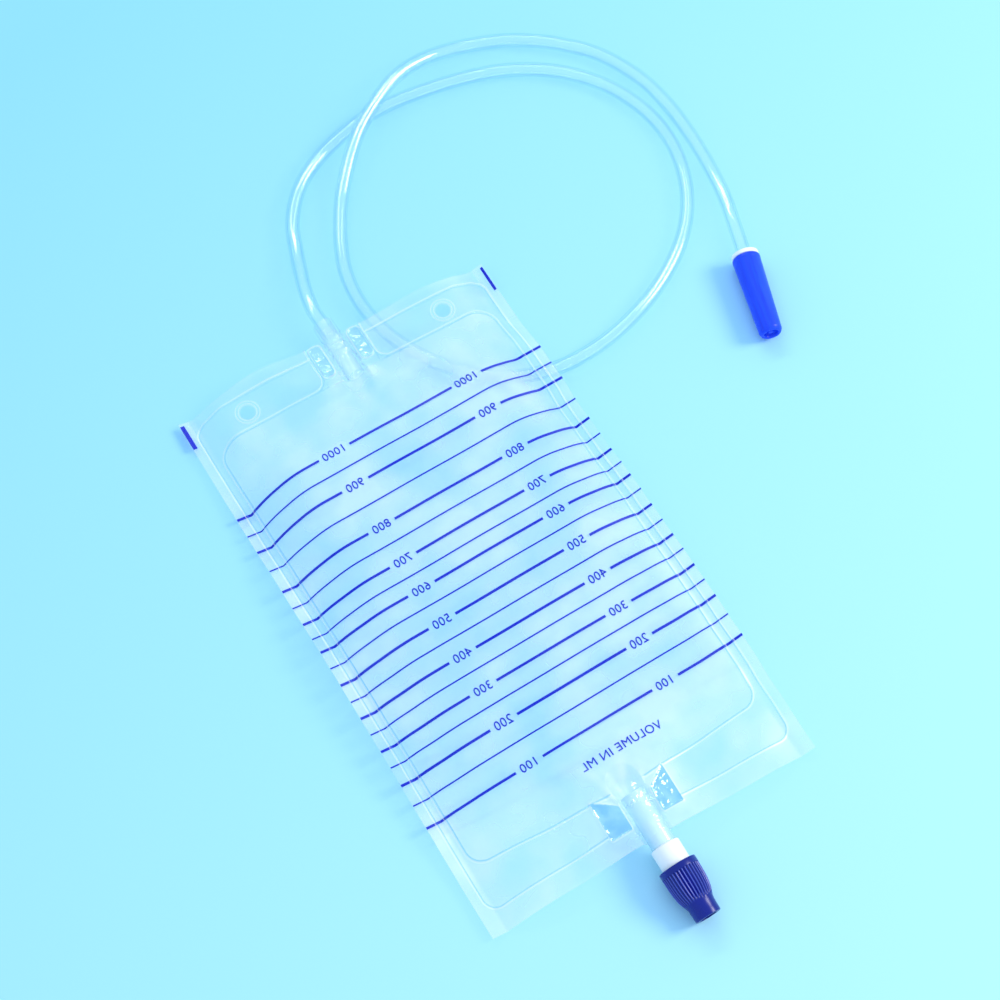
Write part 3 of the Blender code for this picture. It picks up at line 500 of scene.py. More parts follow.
def turned_piece(name, profile, sides, placing):
    """A circle drawn out ring by ring along a closed profile of (radius, place), then placed."""
    deselect()
    radius, place = profile[0]
    bpy.ops.mesh.primitive_circle_add(vertices=sides, radius=radius, fill_type="NOTHING")
    obj = named(name)
    obj.data.transform(Matrix.Translation((0.0, 0.0, place)))
    bpy.ops.object.mode_set(mode="EDIT")
    bpy.ops.mesh.select_all(action="SELECT")
    before = (radius, place)
    for radius, place in profile[1:] + profile[:1]:
        bpy.ops.mesh.extrude_edges_move(TRANSFORM_OT_translate={"value": (0.0, 0.0, place - before[1])})
        scale = radius / before[0]
        bpy.ops.transform.resize(value=(scale, scale, 1.0), center_override=(0.0, 0.0, place))
        before = (radius, place)
    bpy.ops.mesh.select_all(action="SELECT")
    bpy.ops.mesh.remove_doubles(threshold=MERGE)
    bpy.ops.mesh.delete_loose(use_verts=True, use_edges=True, use_faces=False)
    end_with_faces_outward()
    obj.data.transform(placing)
    bpy.ops.object.shade_smooth_by_angle(angle=TURNED_SMOOTH)
    return obj


def rounded(points, radius, steps=4):
    """A closed profile with its corners rounded, by arcs that touch both sides."""
    result = []
    count = len(points)
    for k, (r, z) in enumerate(points):
        if r <= POLE:
            result.append((r, z))
            continue
        here = Vector((r, z))
        before = Vector(points[k - 1]) - here
        after = Vector(points[(k + 1) % count]) - here
        reach = min(radius, before.length * 0.45, after.length * 0.45)
        a, b = here + before.normalized() * reach, here + after.normalized() * reach
        for i in range(steps + 1):
            t = i / steps
            result.append(tuple(a * (1 - t) ** 2 + here * 2 * t * (1 - t) + b * t * t))
    return result


def table(items, key):
    """A place or a direction of each point or face, in rows of three."""
    rows = np.zeros(len(items) * 3)
    items.foreach_get(key, rows)
    return rows.reshape(-1, 3)


def put_spots(mesh, x, y, z):
    mesh.vertices.foreach_set("co", np.stack([x, y, z], axis=1).ravel())
    mesh.update()


def end_with_faces_outward():
    """Turns all faces of the mesh being edited outwards, and leaves Edit Mode."""
    bpy.ops.mesh.select_all(action="SELECT")
    bpy.ops.mesh.normals_make_consistent(inside=False)
    bpy.ops.object.mode_set(mode="OBJECT")


def apply_modifier(obj, kind, **values):
    modifier = obj.modifiers.new(kind.title(), kind)
    for key, value in values.items():
        setattr(modifier, key, value)
    only(obj)
    bpy.ops.object.modifier_apply(modifier=modifier.name)


def curve_through(points, step):
    """Points a step apart on a smooth curve through the given points."""
    points = [Vector(p) for p in points]
    ends = [2 * points[0] - points[1]] + points + [2 * points[-1] - points[-2]]
    fine = []
    per_span = 16
    for p0, p1, p2, p3 in zip(ends, ends[1:], ends[2:], ends[3:]):
        for k in range(per_span):
            t = k / per_span
            fine.append(0.5 * (2 * p1 + (p2 - p0) * t + (2 * p0 - 5 * p1 + 4 * p2 - p3) * t * t
                               + (3 * p1 - p0 - 3 * p2 + p3) * t * t * t))
    fine.append(points[-1])
    lengths = [0.0]
    for a, b in zip(fine, fine[1:]):
        lengths.append(lengths[-1] + (b - a).length)
    count = round(lengths[-1] / step)
    spaced, k = [], 0
    for i in range(count + 1):
        target = lengths[-1] * i / count
        while k < len(fine) - 2 and lengths[k + 1] < target:
            k += 1
        share = (target - lengths[k]) / (lengths[k + 1] - lengths[k])
        spaced.append(fine[k].lerp(fine[k + 1], share))
    return spaced, lengths[-1]


# Materials

INNER_HAZE = 0.008
FINE_RELIEF = 0.0002
WHITE = (1.0, 1.0, 1.0)
SATIN = 0.34
WHITE_SHADE = (0.95, 0.94, 0.935)


def new_material(name):
    mat = bpy.data.materials.new(name)
    mat.use_nodes = True
    return mat, mat.node_tree, mat.node_tree.nodes["Principled BSDF"]


def give(socket, value):
    """Links a socket to another one, or writes a plain value into it."""
    if isinstance(value, bpy.types.NodeSocket):
        socket.id_data.links.new(value, socket)
    else:
        socket.default_value = value


def fill(node, **values):
    """Gives a node's sockets their links and values, by the sockets' names."""
    for key, value in values.items():
        give(node.inputs[key.replace("_", " ")], value)
    return node


def add(tree, kind, **settings):
    node = tree.nodes.new(kind)
    for key, value in settings.items():
        setattr(node, key, value)
    return node


def maths(tree, operation, *values):
    """The result of a Math node over sockets and plain numbers."""
    node = add(tree, "ShaderNodeMath", operation=operation)
    for socket, value in zip(node.inputs, values):
        give(socket, value)
    return node.outputs["Value"]


def mixed(tree, factor, low, high):
    """A colour between two, by a factor socket."""
    node = fill(add(tree, "ShaderNodeMix", data_type="RGBA"), Factor=factor)
    for key, colour in (("A", low), ("B", high)):
        give(node.inputs[key], colour if isinstance(colour, bpy.types.NodeSocket) else (*colour, 1.0))
    return node.outputs["Result"]


def ranged(tree, value, low, high, to_low, to_high):
    """A value stretched from one range to another, and held at its ends."""
    node = fill(add(tree, "ShaderNodeMapRange"), Value=value,
                From_Min=low, From_Max=high, To_Min=to_low, To_Max=to_high)
    return node.outputs["Result"]


def object_place(tree):
    return add(tree, "ShaderNodeTexCoord").outputs["Object"]


def noise(tree, place, **values):
    return fill(add(tree, "ShaderNodeTexNoise"), Vector=place, **values).outputs["Fac"]


def told(tree, name):
    """A value that a piece's own attribute gives."""
    return add(tree, "ShaderNodeAttribute", attribute_name=name).outputs["Fac"]


def bumped(tree, height, strength, distance):
    relief = fill(add(tree, "ShaderNodeBump"), Height=height, Strength=strength, Distance=distance)
    return relief.outputs["Normal"]


def node_group(name, inputs, outputs):
    """A new group with its sockets, and its input and output nodes."""
    group = bpy.data.node_groups.new(name, "ShaderNodeTree")
    for in_out, sockets in (("INPUT", inputs), ("OUTPUT", outputs)):
        for socket, kind in sockets:
            group.interface.new_socket(name=socket, in_out=in_out, socket_type="NodeSocket" + kind)
    return group, add(group, "NodeGroupInput").outputs, add(group, "NodeGroupOutput")


def plastic_skin():
    """Shared moulded surface: fine grain, faint flow marks and soft scuffs, as values and a normal."""
    group, given, end = node_group(
        "plastic_skin", [("Grain Size", "Float"), ("Grain Depth", "Float"), ("Flow Size", "Float")],
        [("Scuff", "Float"), ("Flow", "Float"), ("Normal", "Vector")])
    place = object_place(group)
    grain = noise(group, place, Scale=given["Grain Size"], Detail=3.0, Roughness=0.6)
    flow = noise(group, place, Scale=given["Flow Size"], Detail=4.0, Roughness=0.5, Distortion=0.6)
    fill(end, Flow=flow, Scuff=ranged(group, flow, 0.45, 0.7, 0.0, 1.0),
         Normal=bumped(group, grain, given["Grain Depth"], FINE_RELIEF))
    return group


def pressed_line():
    """Shared thin soft line where a distance passes a place."""
    group, given, end = node_group(
        "pressed_line", [("Distance", "Float"), ("Place", "Float"), ("Width", "Float")], [("Line", "Float")])
    away = maths(group, "ABSOLUTE", maths(group, "SUBTRACT", given["Distance"], given["Place"]))
    share = fill(add(group, "ShaderNodeMapRange", interpolation_type="SMOOTHSTEP"),
                 Value=away, From_Min=0.0, From_Max=given["Width"], To_Min=1.0, To_Max=0.0)
    fill(end, Line=share.outputs["Result"])
    return group


def shared(tree, build, **values):
    """A shared node group, built on its first use, placed in a material with its own values."""
    node = add(tree, "ShaderNodeGroup")
    node.node_tree = bpy.data.node_groups.get(build.__name__) or build()
    return fill(node, **values)


def moulded(name, colour, shade, roughness, grain=0.12, specular=0.5, tint=WHITE, drawn=None, painted_crest_highlight=None):
    """An opaque moulding: two close tones along its flow marks, with fine grain and scuffed gloss, and a
    painted highlight on rib crests when one is given.
    """
    mat, tree, shader = new_material(name)
    skin = shared(tree, plastic_skin, Grain_Size=900.0, Grain_Depth=grain, Flow_Size=60.0).outputs
    tone = skin["Flow"] if drawn is None else streaks(tree, drawn)
    base = mixed(tree, tone, shade, colour)
    # Painted highlight: a paler colour laid on the crests that the attribute marks
    if painted_crest_highlight:
        attribute, crest_highlight_colour = painted_crest_highlight
        base = mixed(tree, told(tree, attribute), base, crest_highlight_colour)
    gloss = ranged(tree, skin["Scuff"], 0.0, 1.0, roughness, roughness + 0.1)
    fill(shader, Base_Color=base, Roughness=gloss,
         Normal=skin["Normal"], Specular_IOR_Level=specular, Specular_Tint=(*tint, 1.0))
    return mat


def streaks(tree, turn):
    """Fine marks drawn out along a direction on the floor, given by its turn from +Y."""
    lie = fill(add(tree, "ShaderNodeMapping"), Vector=object_place(tree), Rotation=(0.0, 0.0, -turn))
    squeeze = fill(add(tree, "ShaderNodeMapping"), Vector=lie.outputs["Vector"], Scale=(1.0, 0.07, 1.0))
    marks = noise(tree, squeeze.outputs["Vector"], Scale=520.0, Detail=4.0, Roughness=0.6)
    return ranged(tree, marks, 0.32, 0.68, 0.0, 1.0)


def clear_plastic(name, tint, depth, clearness, roughness, gloss, grain, shadow):
    """Soft clear plastic with a little milk in it, under a wet gloss, with a bluer painted shade where it is
    seen edge on that stands in for the dark lines refraction draws along its edges.
    """
    mat, tree, shader = new_material(name)
    skin = shared(tree, plastic_skin, Grain_Size=260.0, Grain_Depth=grain, Flow_Size=35.0).outputs
    rim = fill(add(tree, "ShaderNodeLayerWeight"), Blend=0.5).outputs["Facing"]
    # Painted shade: the colour turns to depth, the painted shade colour, where the piece is seen edge on
    painted_edge_shade = maths(tree, "MULTIPLY", ranged(tree, rim, 0.20, 0.60, 0.0, 1.0),
                   ranged(tree, skin["Flow"], 0.3, 0.7, 0.8, 1.0))
    fill(shader, Base_Color=mixed(tree, painted_edge_shade, tint, depth),
         Roughness=ranged(tree, skin["Flow"], 0.3, 0.7, roughness, roughness + 0.1),
         Normal=skin["Normal"], Alpha=through_light(tree, 1.0, shadow), IOR=1.03,
         Transmission_Weight=clearness, Coat_Weight=1.0, Coat_Roughness=gloss, Coat_IOR=1.5)
    return mat


def film_material(name, haze_colour, haze, line_haze, shadow):
    """Thin film as a veil over what lies below, in haze that is patchy at random and also stands in for soft
    painted reflections. The veil carries painted light too: white painted highlights beside the weld lines,
    round the pads, on the eyelet rings and on the fold crests, a painted sheen where the film is seen edge
    on, and a blue painted shade line along each weld.
    """
    mat, tree, shader = new_material(name)

    def line(attribute, place, width):
        away = told(tree, attribute)
        return shared(tree, pressed_line, Distance=away, Place=place, Width=width).outputs["Line"]

    # Painted highlights: thin white lines beside the weld lines, round the pads and on the eyelet rings
    white = [line("outer_line", 0.0008, 0.0005), line("inner_line", 0.0009, 0.0004),
             line("pad_line", 0.0002, 0.0005)]
    white += [line("eyelet_line", ring, 0.00032) for ring in EYELET_RINGS]
    # Painted shade: a thin blue line along the middle of each weld line
    edge = maths(tree, "MAXIMUM", line("inner_line", 0.0, 0.0005), line("outer_line", 0.0, 0.0004))
    weld = white[0]
    for other in white[1:]:
        weld = maths(tree, "MAXIMUM", weld, other)
    place = object_place(tree)
    cloud = noise(tree, place, Scale=34.0, Detail=2.0, Roughness=0.5)
    frost = noise(tree, place, Scale=420.0, Detail=0.0, Roughness=0.5)
    clouded = ranged(tree, cloud, 0.32, 0.68, haze * 0.35, haze * 1.75)
    veil = maths(tree, "MULTIPLY", clouded, told(tree, "frosted"))
    # Painted sheen: the veil thickens where the film is seen edge on
    rim = fill(add(tree, "ShaderNodeLayerWeight"), Blend=0.25).outputs["Facing"]
    # The painted highlights, the painted fold highlight and the painted shade line all thicken the white veil
    for mask, share in ((weld, 1.0), (told(tree, "fold"), 0.6), (edge, 0.6), (rim, 0.4)):
        veil = maths(tree, "MULTIPLY_ADD", mask, line_haze * share, veil)
    # The base colour turns blue along the painted shade line
    fill(shader, Base_Color=mixed(tree, edge, haze_colour, (0.16, 0.52, 1.0)),
         Roughness=ranged(tree, cloud, 0.3, 0.7, 0.22, 0.36), Normal=bumped(tree, frost, 0.1, FINE_RELIEF),
         Alpha=through_light(tree, veil, shadow), Specular_IOR_Level=0.8)
    return mat


def inner_skin():
    """The films' faces inside the pouch: nearly clear, as the outer faces carry the haze of both."""
    mat, tree, shader = new_material("film_inner_finish")
    cloud = noise(tree, object_place(tree), Scale=34.0, Detail=0.0, Roughness=0.5)
    fill(shader, Base_Color=mixed(tree, cloud, (0.93, 0.97, 1.0), (0.97, 0.99, 1.0)), Roughness=0.25,
         Alpha=through_light(tree, INNER_HAZE, 0.0))
    return mat


def pad_material():
    """The pads pressed clear beside the port and the outlet: wet gloss over a painted blue shade, which
    stands in for the darker surroundings that the clear pads refract and differs from pad to pad.
    """
    mat, tree, shader = new_material("pressed_pad_finish")
    dimple = noise(tree, object_place(tree), Scale=190.0, Detail=2.0, Roughness=0.5)
    # Painted shade: the pad's own share, varied at random by the dimples
    tone = maths(tree, "MULTIPLY", told(tree, "pad_painted_shade"), ranged(tree, dimple, 0.35, 0.65, 0.6, 1.4))
    relief = bumped(tree, dimple, 0.8, 0.0016)
    fill(shader, Base_Color=mixed(tree, tone, (0.975, 0.995, 1.0), (0.62, 0.80, 0.99)),
         Roughness=ranged(tree, dimple, 0.3, 0.7, 0.0, 0.12), Normal=relief, Coat_Normal=relief,
         Alpha=through_light(tree, 1.0, 0.08), IOR=1.02, Transmission_Weight=0.97, Coat_Weight=1.0,
         Coat_Roughness=0.10, Coat_IOR=1.5)
    return mat


def through_light(tree, seen, shadow):
    """Alpha that lets lamp light and bounced light pass with only a faint shadow."""
    light = add(tree, "ShaderNodeLightPath").outputs
    either = maths(tree, "MAXIMUM", light["Is Shadow Ray"], light["Is Diffuse Ray"])
    pick = fill(add(tree, "ShaderNodeMix", data_type="FLOAT"), Factor=either, A=seen, B=shadow)
    return pick.outputs["Result"]


# Settings that a user would change

def length_setting(name, description, default):
    return FloatProperty(name=name, description=description, default=default, unit="LENGTH")


def colour_setting(name, description, default):
    return FloatVectorProperty(name=name, description=description, default=default, subtype="COLOR")


class DrainageFilmSettings(PropertyGroup):
    fine_step: length_setting("Fine step", "Spacing of the film's facets along welds and eyelets", 0.00045)
    coarse_step: length_setting("Coarse step", "Spacing of the film's facets over the open pouch", 0.0021)
    back_colour: colour_setting("Back film", "Tint of the plain film", (0.97, 0.99, 1.0))
    front_colour: colour_setting("Front film", "Tint of the printed film", (0.96, 0.985, 1.0))


class DrainagePrintSettings(PropertyGroup):
    bold_width: length_setting("Bold line", "Width of the lines at whole hundreds", 0.00112)
    thin_width: length_setting("Thin line", "Width of the lines between them", 0.00056)
    number_height: length_setting("Number height", "Height of the scale's numbers", 0.0041)
    label_gap: length_setting("Label gap", "Opening in a bold line for its number", 0.0162)
    left_column: length_setting("Left column", "Place of the left numbers across the bag", -0.0299)
    right_column: length_setting("Right column", "Place of the right numbers across the bag", 0.0414)
    legend: StringProperty(name="Legend", description="Words under the scale", default="VOLUME IN ML")
    ink_colour: colour_setting("Ink", "Colour of the print", (0.0, 0.018, 0.60))


class DrainageTubeSettings(PropertyGroup):
    diameter: length_setting("Tube diameter", "Outside of the inlet tube", TUBE_DIAMETER)
    bore: length_setting("Tube bore", "Inside of the inlet tube", TUBE_BORE)
    tint: colour_setting("Tube tint", "Tint of the clear tube", (0.975, 0.992, 1.0))


class DrainageFittingSettings(PropertyGroup):
    grip_ribs: IntProperty(name="Grip ribs", description="Ribs round the valve's sleeve", default=34)
    rib_depth: length_setting("Rib depth", "Depth of the sleeve's grooves", 0.0007)
    sleeve_colour: colour_setting("Sleeve", "Colour of the valve's sleeve", (0.004, 0.008, 0.29))
    cap_colour: colour_setting("Cap", "Colour of the connector's cap", (0.012, 0.080, 0.93))
    body_colour: colour_setting("Valve body", "Colour of the valve's white parts", (0.99, 0.975, 0.965))


class DrainageStudioSettings(PropertyGroup):
    # Painted light: the floor's colour is lighter at the lower right and darker at the upper left
    floor_near: colour_setting("Floor, lower right", "Floor colour at the lower right", (0.485, 0.862, 0.99))
    floor_far: colour_setting("Floor, upper left", "Floor colour at the upper left", (0.30, 0.672, 0.97))
    key_power: FloatProperty(
        name="Key lamp", description="Power of the large lamp", default=33.0, unit="POWER")
    sky_strength: FloatProperty(name="Room light", description="Strength of the even light", default=1.03)


def dress(obj, finish, body, node):
    """Gives a piece its finish and its body, and hides the node that it stands for."""
    obj.data.materials.clear()
    obj.data.materials.append(finish)
    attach(obj, body)
    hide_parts(node)


# Films

def stops_to_lines(fine_zones, low, high, fine, coarse):
    """Facet lines from low to high, close together inside the given zones."""
    lines = [low]
    while lines[-1] < high - 1e-9:
        here = lines[-1]
        inside = any(a - 1e-9 <= here < b - 1e-9 for a, b in fine_zones)
        step = fine if inside else coarse
        for a, b in fine_zones:
            edge = b if inside else a
            if here + 1e-9 < edge < here + step * 1.3:
                step = edge - here
        lines.append(min(here + step, high))
    return np.array(lines)


def film_piece(name, side, settings, finishes):
    """One film: a grid with its lines drawn close along the welds, raised to shape, given a wall."""
    fine, coarse = settings.fine_step, settings.coarse_step
    eyelet = EYELET_RINGS[-1] + 0.001
    across = stops_to_lines(
        [(-HALF_WIDTH + 0.003, -WELD_INNER_X + 0.003), (-EYELET_X - eyelet, -EYELET_X + eyelet),
         (-0.0195, 0.0195), (EYELET_X - eyelet, EYELET_X + eyelet),
         (WELD_INNER_X - 0.003, HALF_WIDTH - 0.003)],
        -HALF_WIDTH, HALF_WIDTH, fine * 1.35, coarse)
    along = stops_to_lines(
        [(-HALF_LENGTH + 0.006, -HALF_LENGTH + 0.040), (WELD_TOP_INNER_Y - 0.004, HALF_LENGTH)],
        -HALF_LENGTH, HALF_LENGTH, fine * 1.25, coarse)
    deselect()
    bpy.ops.mesh.primitive_grid_add(x_subdivisions=len(across) - 1, y_subdivisions=len(along) - 1, size=1.0)
    film = named(name)
    spots = table(film.data.vertices, "co")
    column = np.rint((spots[:, 0] + 0.5) * (len(across) - 1)).astype(int)
    row = np.rint((spots[:, 1] + 0.5) * (len(along) - 1)).astype(int)
    x, y = across[column], along[row]
    for ex in (-EYELET_X, EYELET_X):
        x, y = round_hole(x, y, ex, EYELET_Y)
    put_spots(film.data, x, y + MID_Y, film_face(side, x, y))
    punch_holes(film)
    apply_modifier(film, "SOLIDIFY", thickness=FILM_THICKNESS, offset=1.0 if side > 0 else -1.0,
                   use_even_offset=False)
    x, y, _ = (table(film.data.vertices, "co") - (0.0, MID_Y, 0.0)).T
    pads = np.minimum(port_pads(x, y), outlet_pads(x, y))
    values = {
        "outer_line": outer_weld(x, y), "inner_line": inner_weld(x, y), "pad_line": pads,
        # Painted shade of the pads, whose blue stands in for what they refract
        "pad_painted_shade": np.where(pads > 0, 0.0, np.where(y > 0, PAD_PAINTED_SHADES["port"], np.where(
            x < 0, PAD_PAINTED_SHADES["outlet_left"], PAD_PAINTED_SHADES["outlet_right"]))),
        "eyelet_line": np.hypot(np.abs(x) - EYELET_X, y - EYELET_Y),
        # Painted highlight along the crests of the fan folds
        "fold": np.clip(fans(x, y) / 0.0009, 0.0, 1.0),
        "frosted": 1.0 - 0.5 * ((y > 0) & (np.abs(x) < WELD_OUTER_X)) * smooth(-inside_pouch(x, y) / 0.001),
    }
    for key, spread in values.items():
        film.data.attributes.new(key, "FLOAT", "POINT").data.foreach_set("value", spread.astype(np.float32))
    x, y, _ = (table(film.data.polygons, "center") - (0.0, MID_Y, 0.0)).T
    glossy = np.minimum(port_pads(x, y), outlet_pads(x, y)) < -0.0001
    if side > 0:
        glossy |= over_fitting(x, y)
    inner = table(film.data.polygons, "normal")[:, 2] * side < -0.3
    for finish in finishes:
        film.data.materials.append(finish)
    slots = np.where(glossy, 1, np.where(inner, 2, 0)).astype(np.int32)
    film.data.polygons.foreach_set("material_index", slots)
    only(film)
    bpy.ops.object.shade_smooth_by_angle(angle=math.radians(50))
    return film


def round_hole(x, y, cx, cy):
    """Draws the grid points just outside a hanging hole onto its circle."""
    radius = EYELET_HOLE / 2
    dx, dy = x - cx, y - cy
    far = np.hypot(dx, dy)
    near = (far >= radius - 0.0001) & (far < radius + 0.00055)
    scale = np.where(near, radius / np.maximum(far, 1e-9), 1.0)
    return cx + dx * scale, cy + dy * scale


def punch_holes(film):
    """Deletes the faces that lie inside the hanging holes."""
    only(film)
    centres = [Vector((ex, EYELET_Y + MID_Y)) for ex in (-EYELET_X, EYELET_X)]
    bpy.ops.object.mode_set(mode="EDIT")
    bpy.ops.mesh.select_all(action="DESELECT")
    bpy.ops.mesh.select_mode(type="FACE")
    bpy.ops.object.mode_set(mode="OBJECT")
    for polygon in film.data.polygons:
        polygon.select = any((polygon.center.xy - c).length < EYELET_HOLE / 2 - 0.00003 for c in centres)
    bpy.ops.object.mode_set(mode="EDIT")
    bpy.ops.mesh.delete(type="FACE")
    bpy.ops.object.mode_set(mode="OBJECT")


class OBJECT_OT_drainage_films(Operator):
    """Build the two welded films"""
    bl_idname = "object.drainage_films"
    bl_label = "Films"

    def execute(self, context):
        settings = context.scene.drainage_film
        pads, inside = pad_material(), inner_skin()
        back = film_material("clear_film_finish", settings.back_colour, 0.022, 0.31, 0.11)
        front = film_material("printed_film_finish", settings.front_colour, 0.225, 0.15, 0.13)
        for name, side, finish, node, slot in (
                ("clear_back_film", 1, back, "back_film", "clear_film"),
                ("printed_front_film", -1, front, "front_film", "printed_film")):
            film = film_piece(name, side, settings, (finish, pads, inside))
            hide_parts(node)
            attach(film, BAG)
        return {"FINISHED"}


# Print

INK_PROUD = 0.00004
INK_DEPTH = FILM_THICKNESS + 2 * INK_PROUD
CUT_LENGTH = 0.0012
CAPITAL_SHARE = 0.70
LETTER_SPACING = 1.06
SHORT_GAP = 0.86
LEGEND_AT = (0.0085, -0.1004)
REGISTER_MARK_IN = 0.0011
REGISTER_MARK_LENGTH = 0.0136


def lay_on_film(obj):
    """Lays a flat mark, drawn in the film's own frame, into the printed film, right through it."""
    x, y, depth = table(obj.data.vertices, "co").T.copy()
    y += np.where(y < REGISTER_MARK_Y - 0.01, SCALE_SLANT * x, 0.0)
    over = film_face(-1, x, y) + INK_PROUD
    put_spots(obj.data, x, y + MID_Y, over - depth)
    only(obj)
    bpy.ops.object.mode_set(mode="EDIT")
    end_with_faces_outward()


def scale_bar(left, right, y, width):
    """A straight bar of print, cut across at short steps, to follow the film."""
    deselect()
    cuts = max(2, round((right - left) / CUT_LENGTH))
    bpy.ops.mesh.primitive_grid_add(x_subdivisions=cuts, y_subdivisions=1, size=1.0)
    bar = bpy.context.object
    bar.data.transform(Matrix.Diagonal((right - left, width, 1.0, 1.0)))
    bar.data.transform(Matrix.Translation(((left + right) / 2, y, 0.0)))
    apply_modifier(bar, "SOLIDIFY", thickness=INK_DEPTH, offset=-1.0)
    return bar


def lettering(text, x, y, height):
    """Plain lettering that reads true from the printed side, so mirrored from the other."""
    deselect()
    bpy.ops.object.text_add(location=(0.0, 0.0, 0.0))
    words = bpy.context.object
    words.data.body = text
    words.data.align_x = "CENTER"
    words.data.align_y = "CENTER"
    words.data.size = height / CAPITAL_SHARE
    words.data.space_character = LETTER_SPACING
    words.data.resolution_u = 4
    words.data.extrude = INK_DEPTH / 2
    bpy.ops.object.convert(target="MESH")
    words = bpy.context.object
    words.data.transform(Matrix.Diagonal((-1.0, 1.0, 1.0, 1.0)))
    words.data.transform(Matrix.Translation((x, y, INK_DEPTH / 2)))
    return words


def join(name, objects):
    deselect()
    for obj in objects:
        obj.select_set(True)
    bpy.context.view_layer.objects.active = objects[0]
    bpy.ops.object.join()
    return named(name)


class OBJECT_OT_drainage_print(Operator):
    """Print the volume scale and its numbers on the front film"""
    bl_idname = "object.drainage_print"
    bl_label = "Print"

    def execute(self, context):
        settings = context.scene.drainage_print
        gap = settings.label_gap / 2
        columns = (settings.left_column, settings.right_column)
        bars, numbers = [], []
        for index, y in enumerate(SCALE_LINES):
            if index % 2:
                bars.append(scale_bar(-HALF_WIDTH, HALF_WIDTH, y, settings.thin_width))
                continue
            volume = str(1000 - 50 * index)
            half = gap if len(volume) > 3 else gap * SHORT_GAP
            edges = [-HALF_WIDTH] + [c + s * half for c in columns for s in (-1, 1)] + [HALF_WIDTH]
            for left, right in zip(edges[::2], edges[1::2]):
                bars.append(scale_bar(left, right, y, settings.bold_width))
            numbers += [lettering(volume, c, y, settings.number_height) for c in columns]
        numbers.append(lettering(settings.legend, *LEGEND_AT, settings.number_height))
        for side, half in ((-1, 0.001), (1, 0.0006)):
            x = side * (HALF_WIDTH - REGISTER_MARK_IN)
            bars.append(scale_bar(x - half, x + half, REGISTER_MARK_Y, REGISTER_MARK_LENGTH))
        ink = moulded("scale_ink", settings.ink_colour, (0.0, 0.012, 0.48), 0.6, grain=0.05, specular=0.05)
        for name, marks in (("scale_lines", bars), ("scale_numbers", numbers)):
            piece = join(name, marks)
            lay_on_film(piece)
            piece.data.materials.clear()
            piece.data.materials.append(ink)
            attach(piece, BAG)
        return {"FINISHED"}


# Port, tube, connector and cap

def port_placing():
    turn = Matrix.Rotation(-math.pi / 2, 4, "X")
    return Matrix.Translation((0.0, PORT_INNER_Y + MID_Y, PORT_HEIGHT)) @ turn


def connector_point(along, height=CAP_RIM / 2):
    x, y = CONNECTOR_AT
    dx, dy = CONNECTOR_HEADING
    return (x + dx * along, y + dy * along, height)


def connector_placing():
    along = Vector((*CONNECTOR_HEADING, 0.0)).normalized()
    turn = along.to_track_quat("Z", "Y").to_matrix().to_4x4()
    x, y, z = connector_point(0.0)
    return Matrix.Translation((x, y + MID_Y, z)) @ turn


class OBJECT_OT_drainage_port(Operator):
    """Build the ribbed port that the films are welded round"""
    bl_idname = "object.drainage_port"
    bl_label = "Port"

    def execute(self, context):
        outer, bore = PORT_OUTER / 2, PORT_BORE / 2
        length = PORT_MOUTH_Y - PORT_INNER_Y
        barrel = outer - RIB_RISE
        profile = [(bore, 0.0), (barrel, 0.0)]
        rib = HALF_LENGTH - PORT_INNER_Y - RIB_FIRST - RIB_PITCH * (RIB_COUNT - 1)
        for _ in range(RIB_COUNT):
            for share in (-0.65, -0.35, 0.0, 0.35, 0.65):
                profile.append((barrel + RIB_RISE * math.cos(share * math.pi / 1.3), rib + share * 0.0024))
            rib += RIB_PITCH
        mouth = length - PORT_PROUD
        profile += [(barrel, mouth), (outer, mouth), (outer, length), (bore, length)]
        port = turned_piece("ribbed_inlet_port", rounded(profile, 0.00025, 3), 64, port_placing())
        finish = clear_plastic(
            "port_finish", (0.985, 0.995, 1.0), (0.86, 0.95, 1.0), clearness=0.95, roughness=0.2, gloss=0.20,
            grain=0.10, shadow=0.10)
        dress(port, finish, BAG, "inlet_port")
        return {"FINISHED"}


class OBJECT_OT_drainage_tube(Operator):
    """Lay the inlet tube in its loops"""
    bl_idname = "object.drainage_tube"
    bl_label = "Inlet tube"

    def execute(self, context):
        settings = context.scene.drainage_tube
        start = [(0.0, PORT_MOUTH_Y - TUBE_IN_SOCKET, PORT_HEIGHT), (0.0, PORT_MOUTH_Y, PORT_HEIGHT)]
        end = [connector_point(-before) for before in TUBE_STRAIGHT_BEFORE_CONNECTOR]
        end.append(connector_point(TUBE_IN_SOCKET - FLANGE_THICKNESS))
        route = [(x, y + MID_Y, *(height or [TUBE_REST])) for x, y, *height in start + TUBE_ROUTE + end]
        points, length = curve_through(route, 0.0020)
        curve = bpy.data.curves.new("clear_inlet_tube", "CURVE")
        curve.dimensions = "3D"
        curve.bevel_depth = settings.diameter / 2
        curve.bevel_resolution = 12
        spline = curve.splines.new("POLY")
        spline.points.add(len(points) - 1)
        for spot, point in zip(spline.points, points):
            spot.co = (*point, 1.0)
        tube = bpy.data.objects.new("clear_inlet_tube", curve)
        context.scene.collection.objects.link(tube)
        only(tube)
        bpy.ops.object.convert(target="MESH")
        tube = named("clear_inlet_tube")
        wall = (settings.diameter - settings.bore) / 2
        apply_modifier(tube, "SOLIDIFY", thickness=wall, offset=-1.0, use_even_offset=True)
        bpy.ops.object.shade_smooth_by_angle(angle=math.radians(40))
        finish = clear_plastic(
            "tube_finish", settings.tint, (0.66, 0.86, 1.0), clearness=0.975, roughness=0.1, gloss=0.03,
            grain=0.02, shadow=0.24)
        dress(tube, finish, BAG, "inlet_tube")
        return {"FINISHED"}


def taper_radius(along):
    return TAPER_ROOT / 2 + (TAPER_TIP - TAPER_ROOT) / 2 * along / TAPER_LENGTH


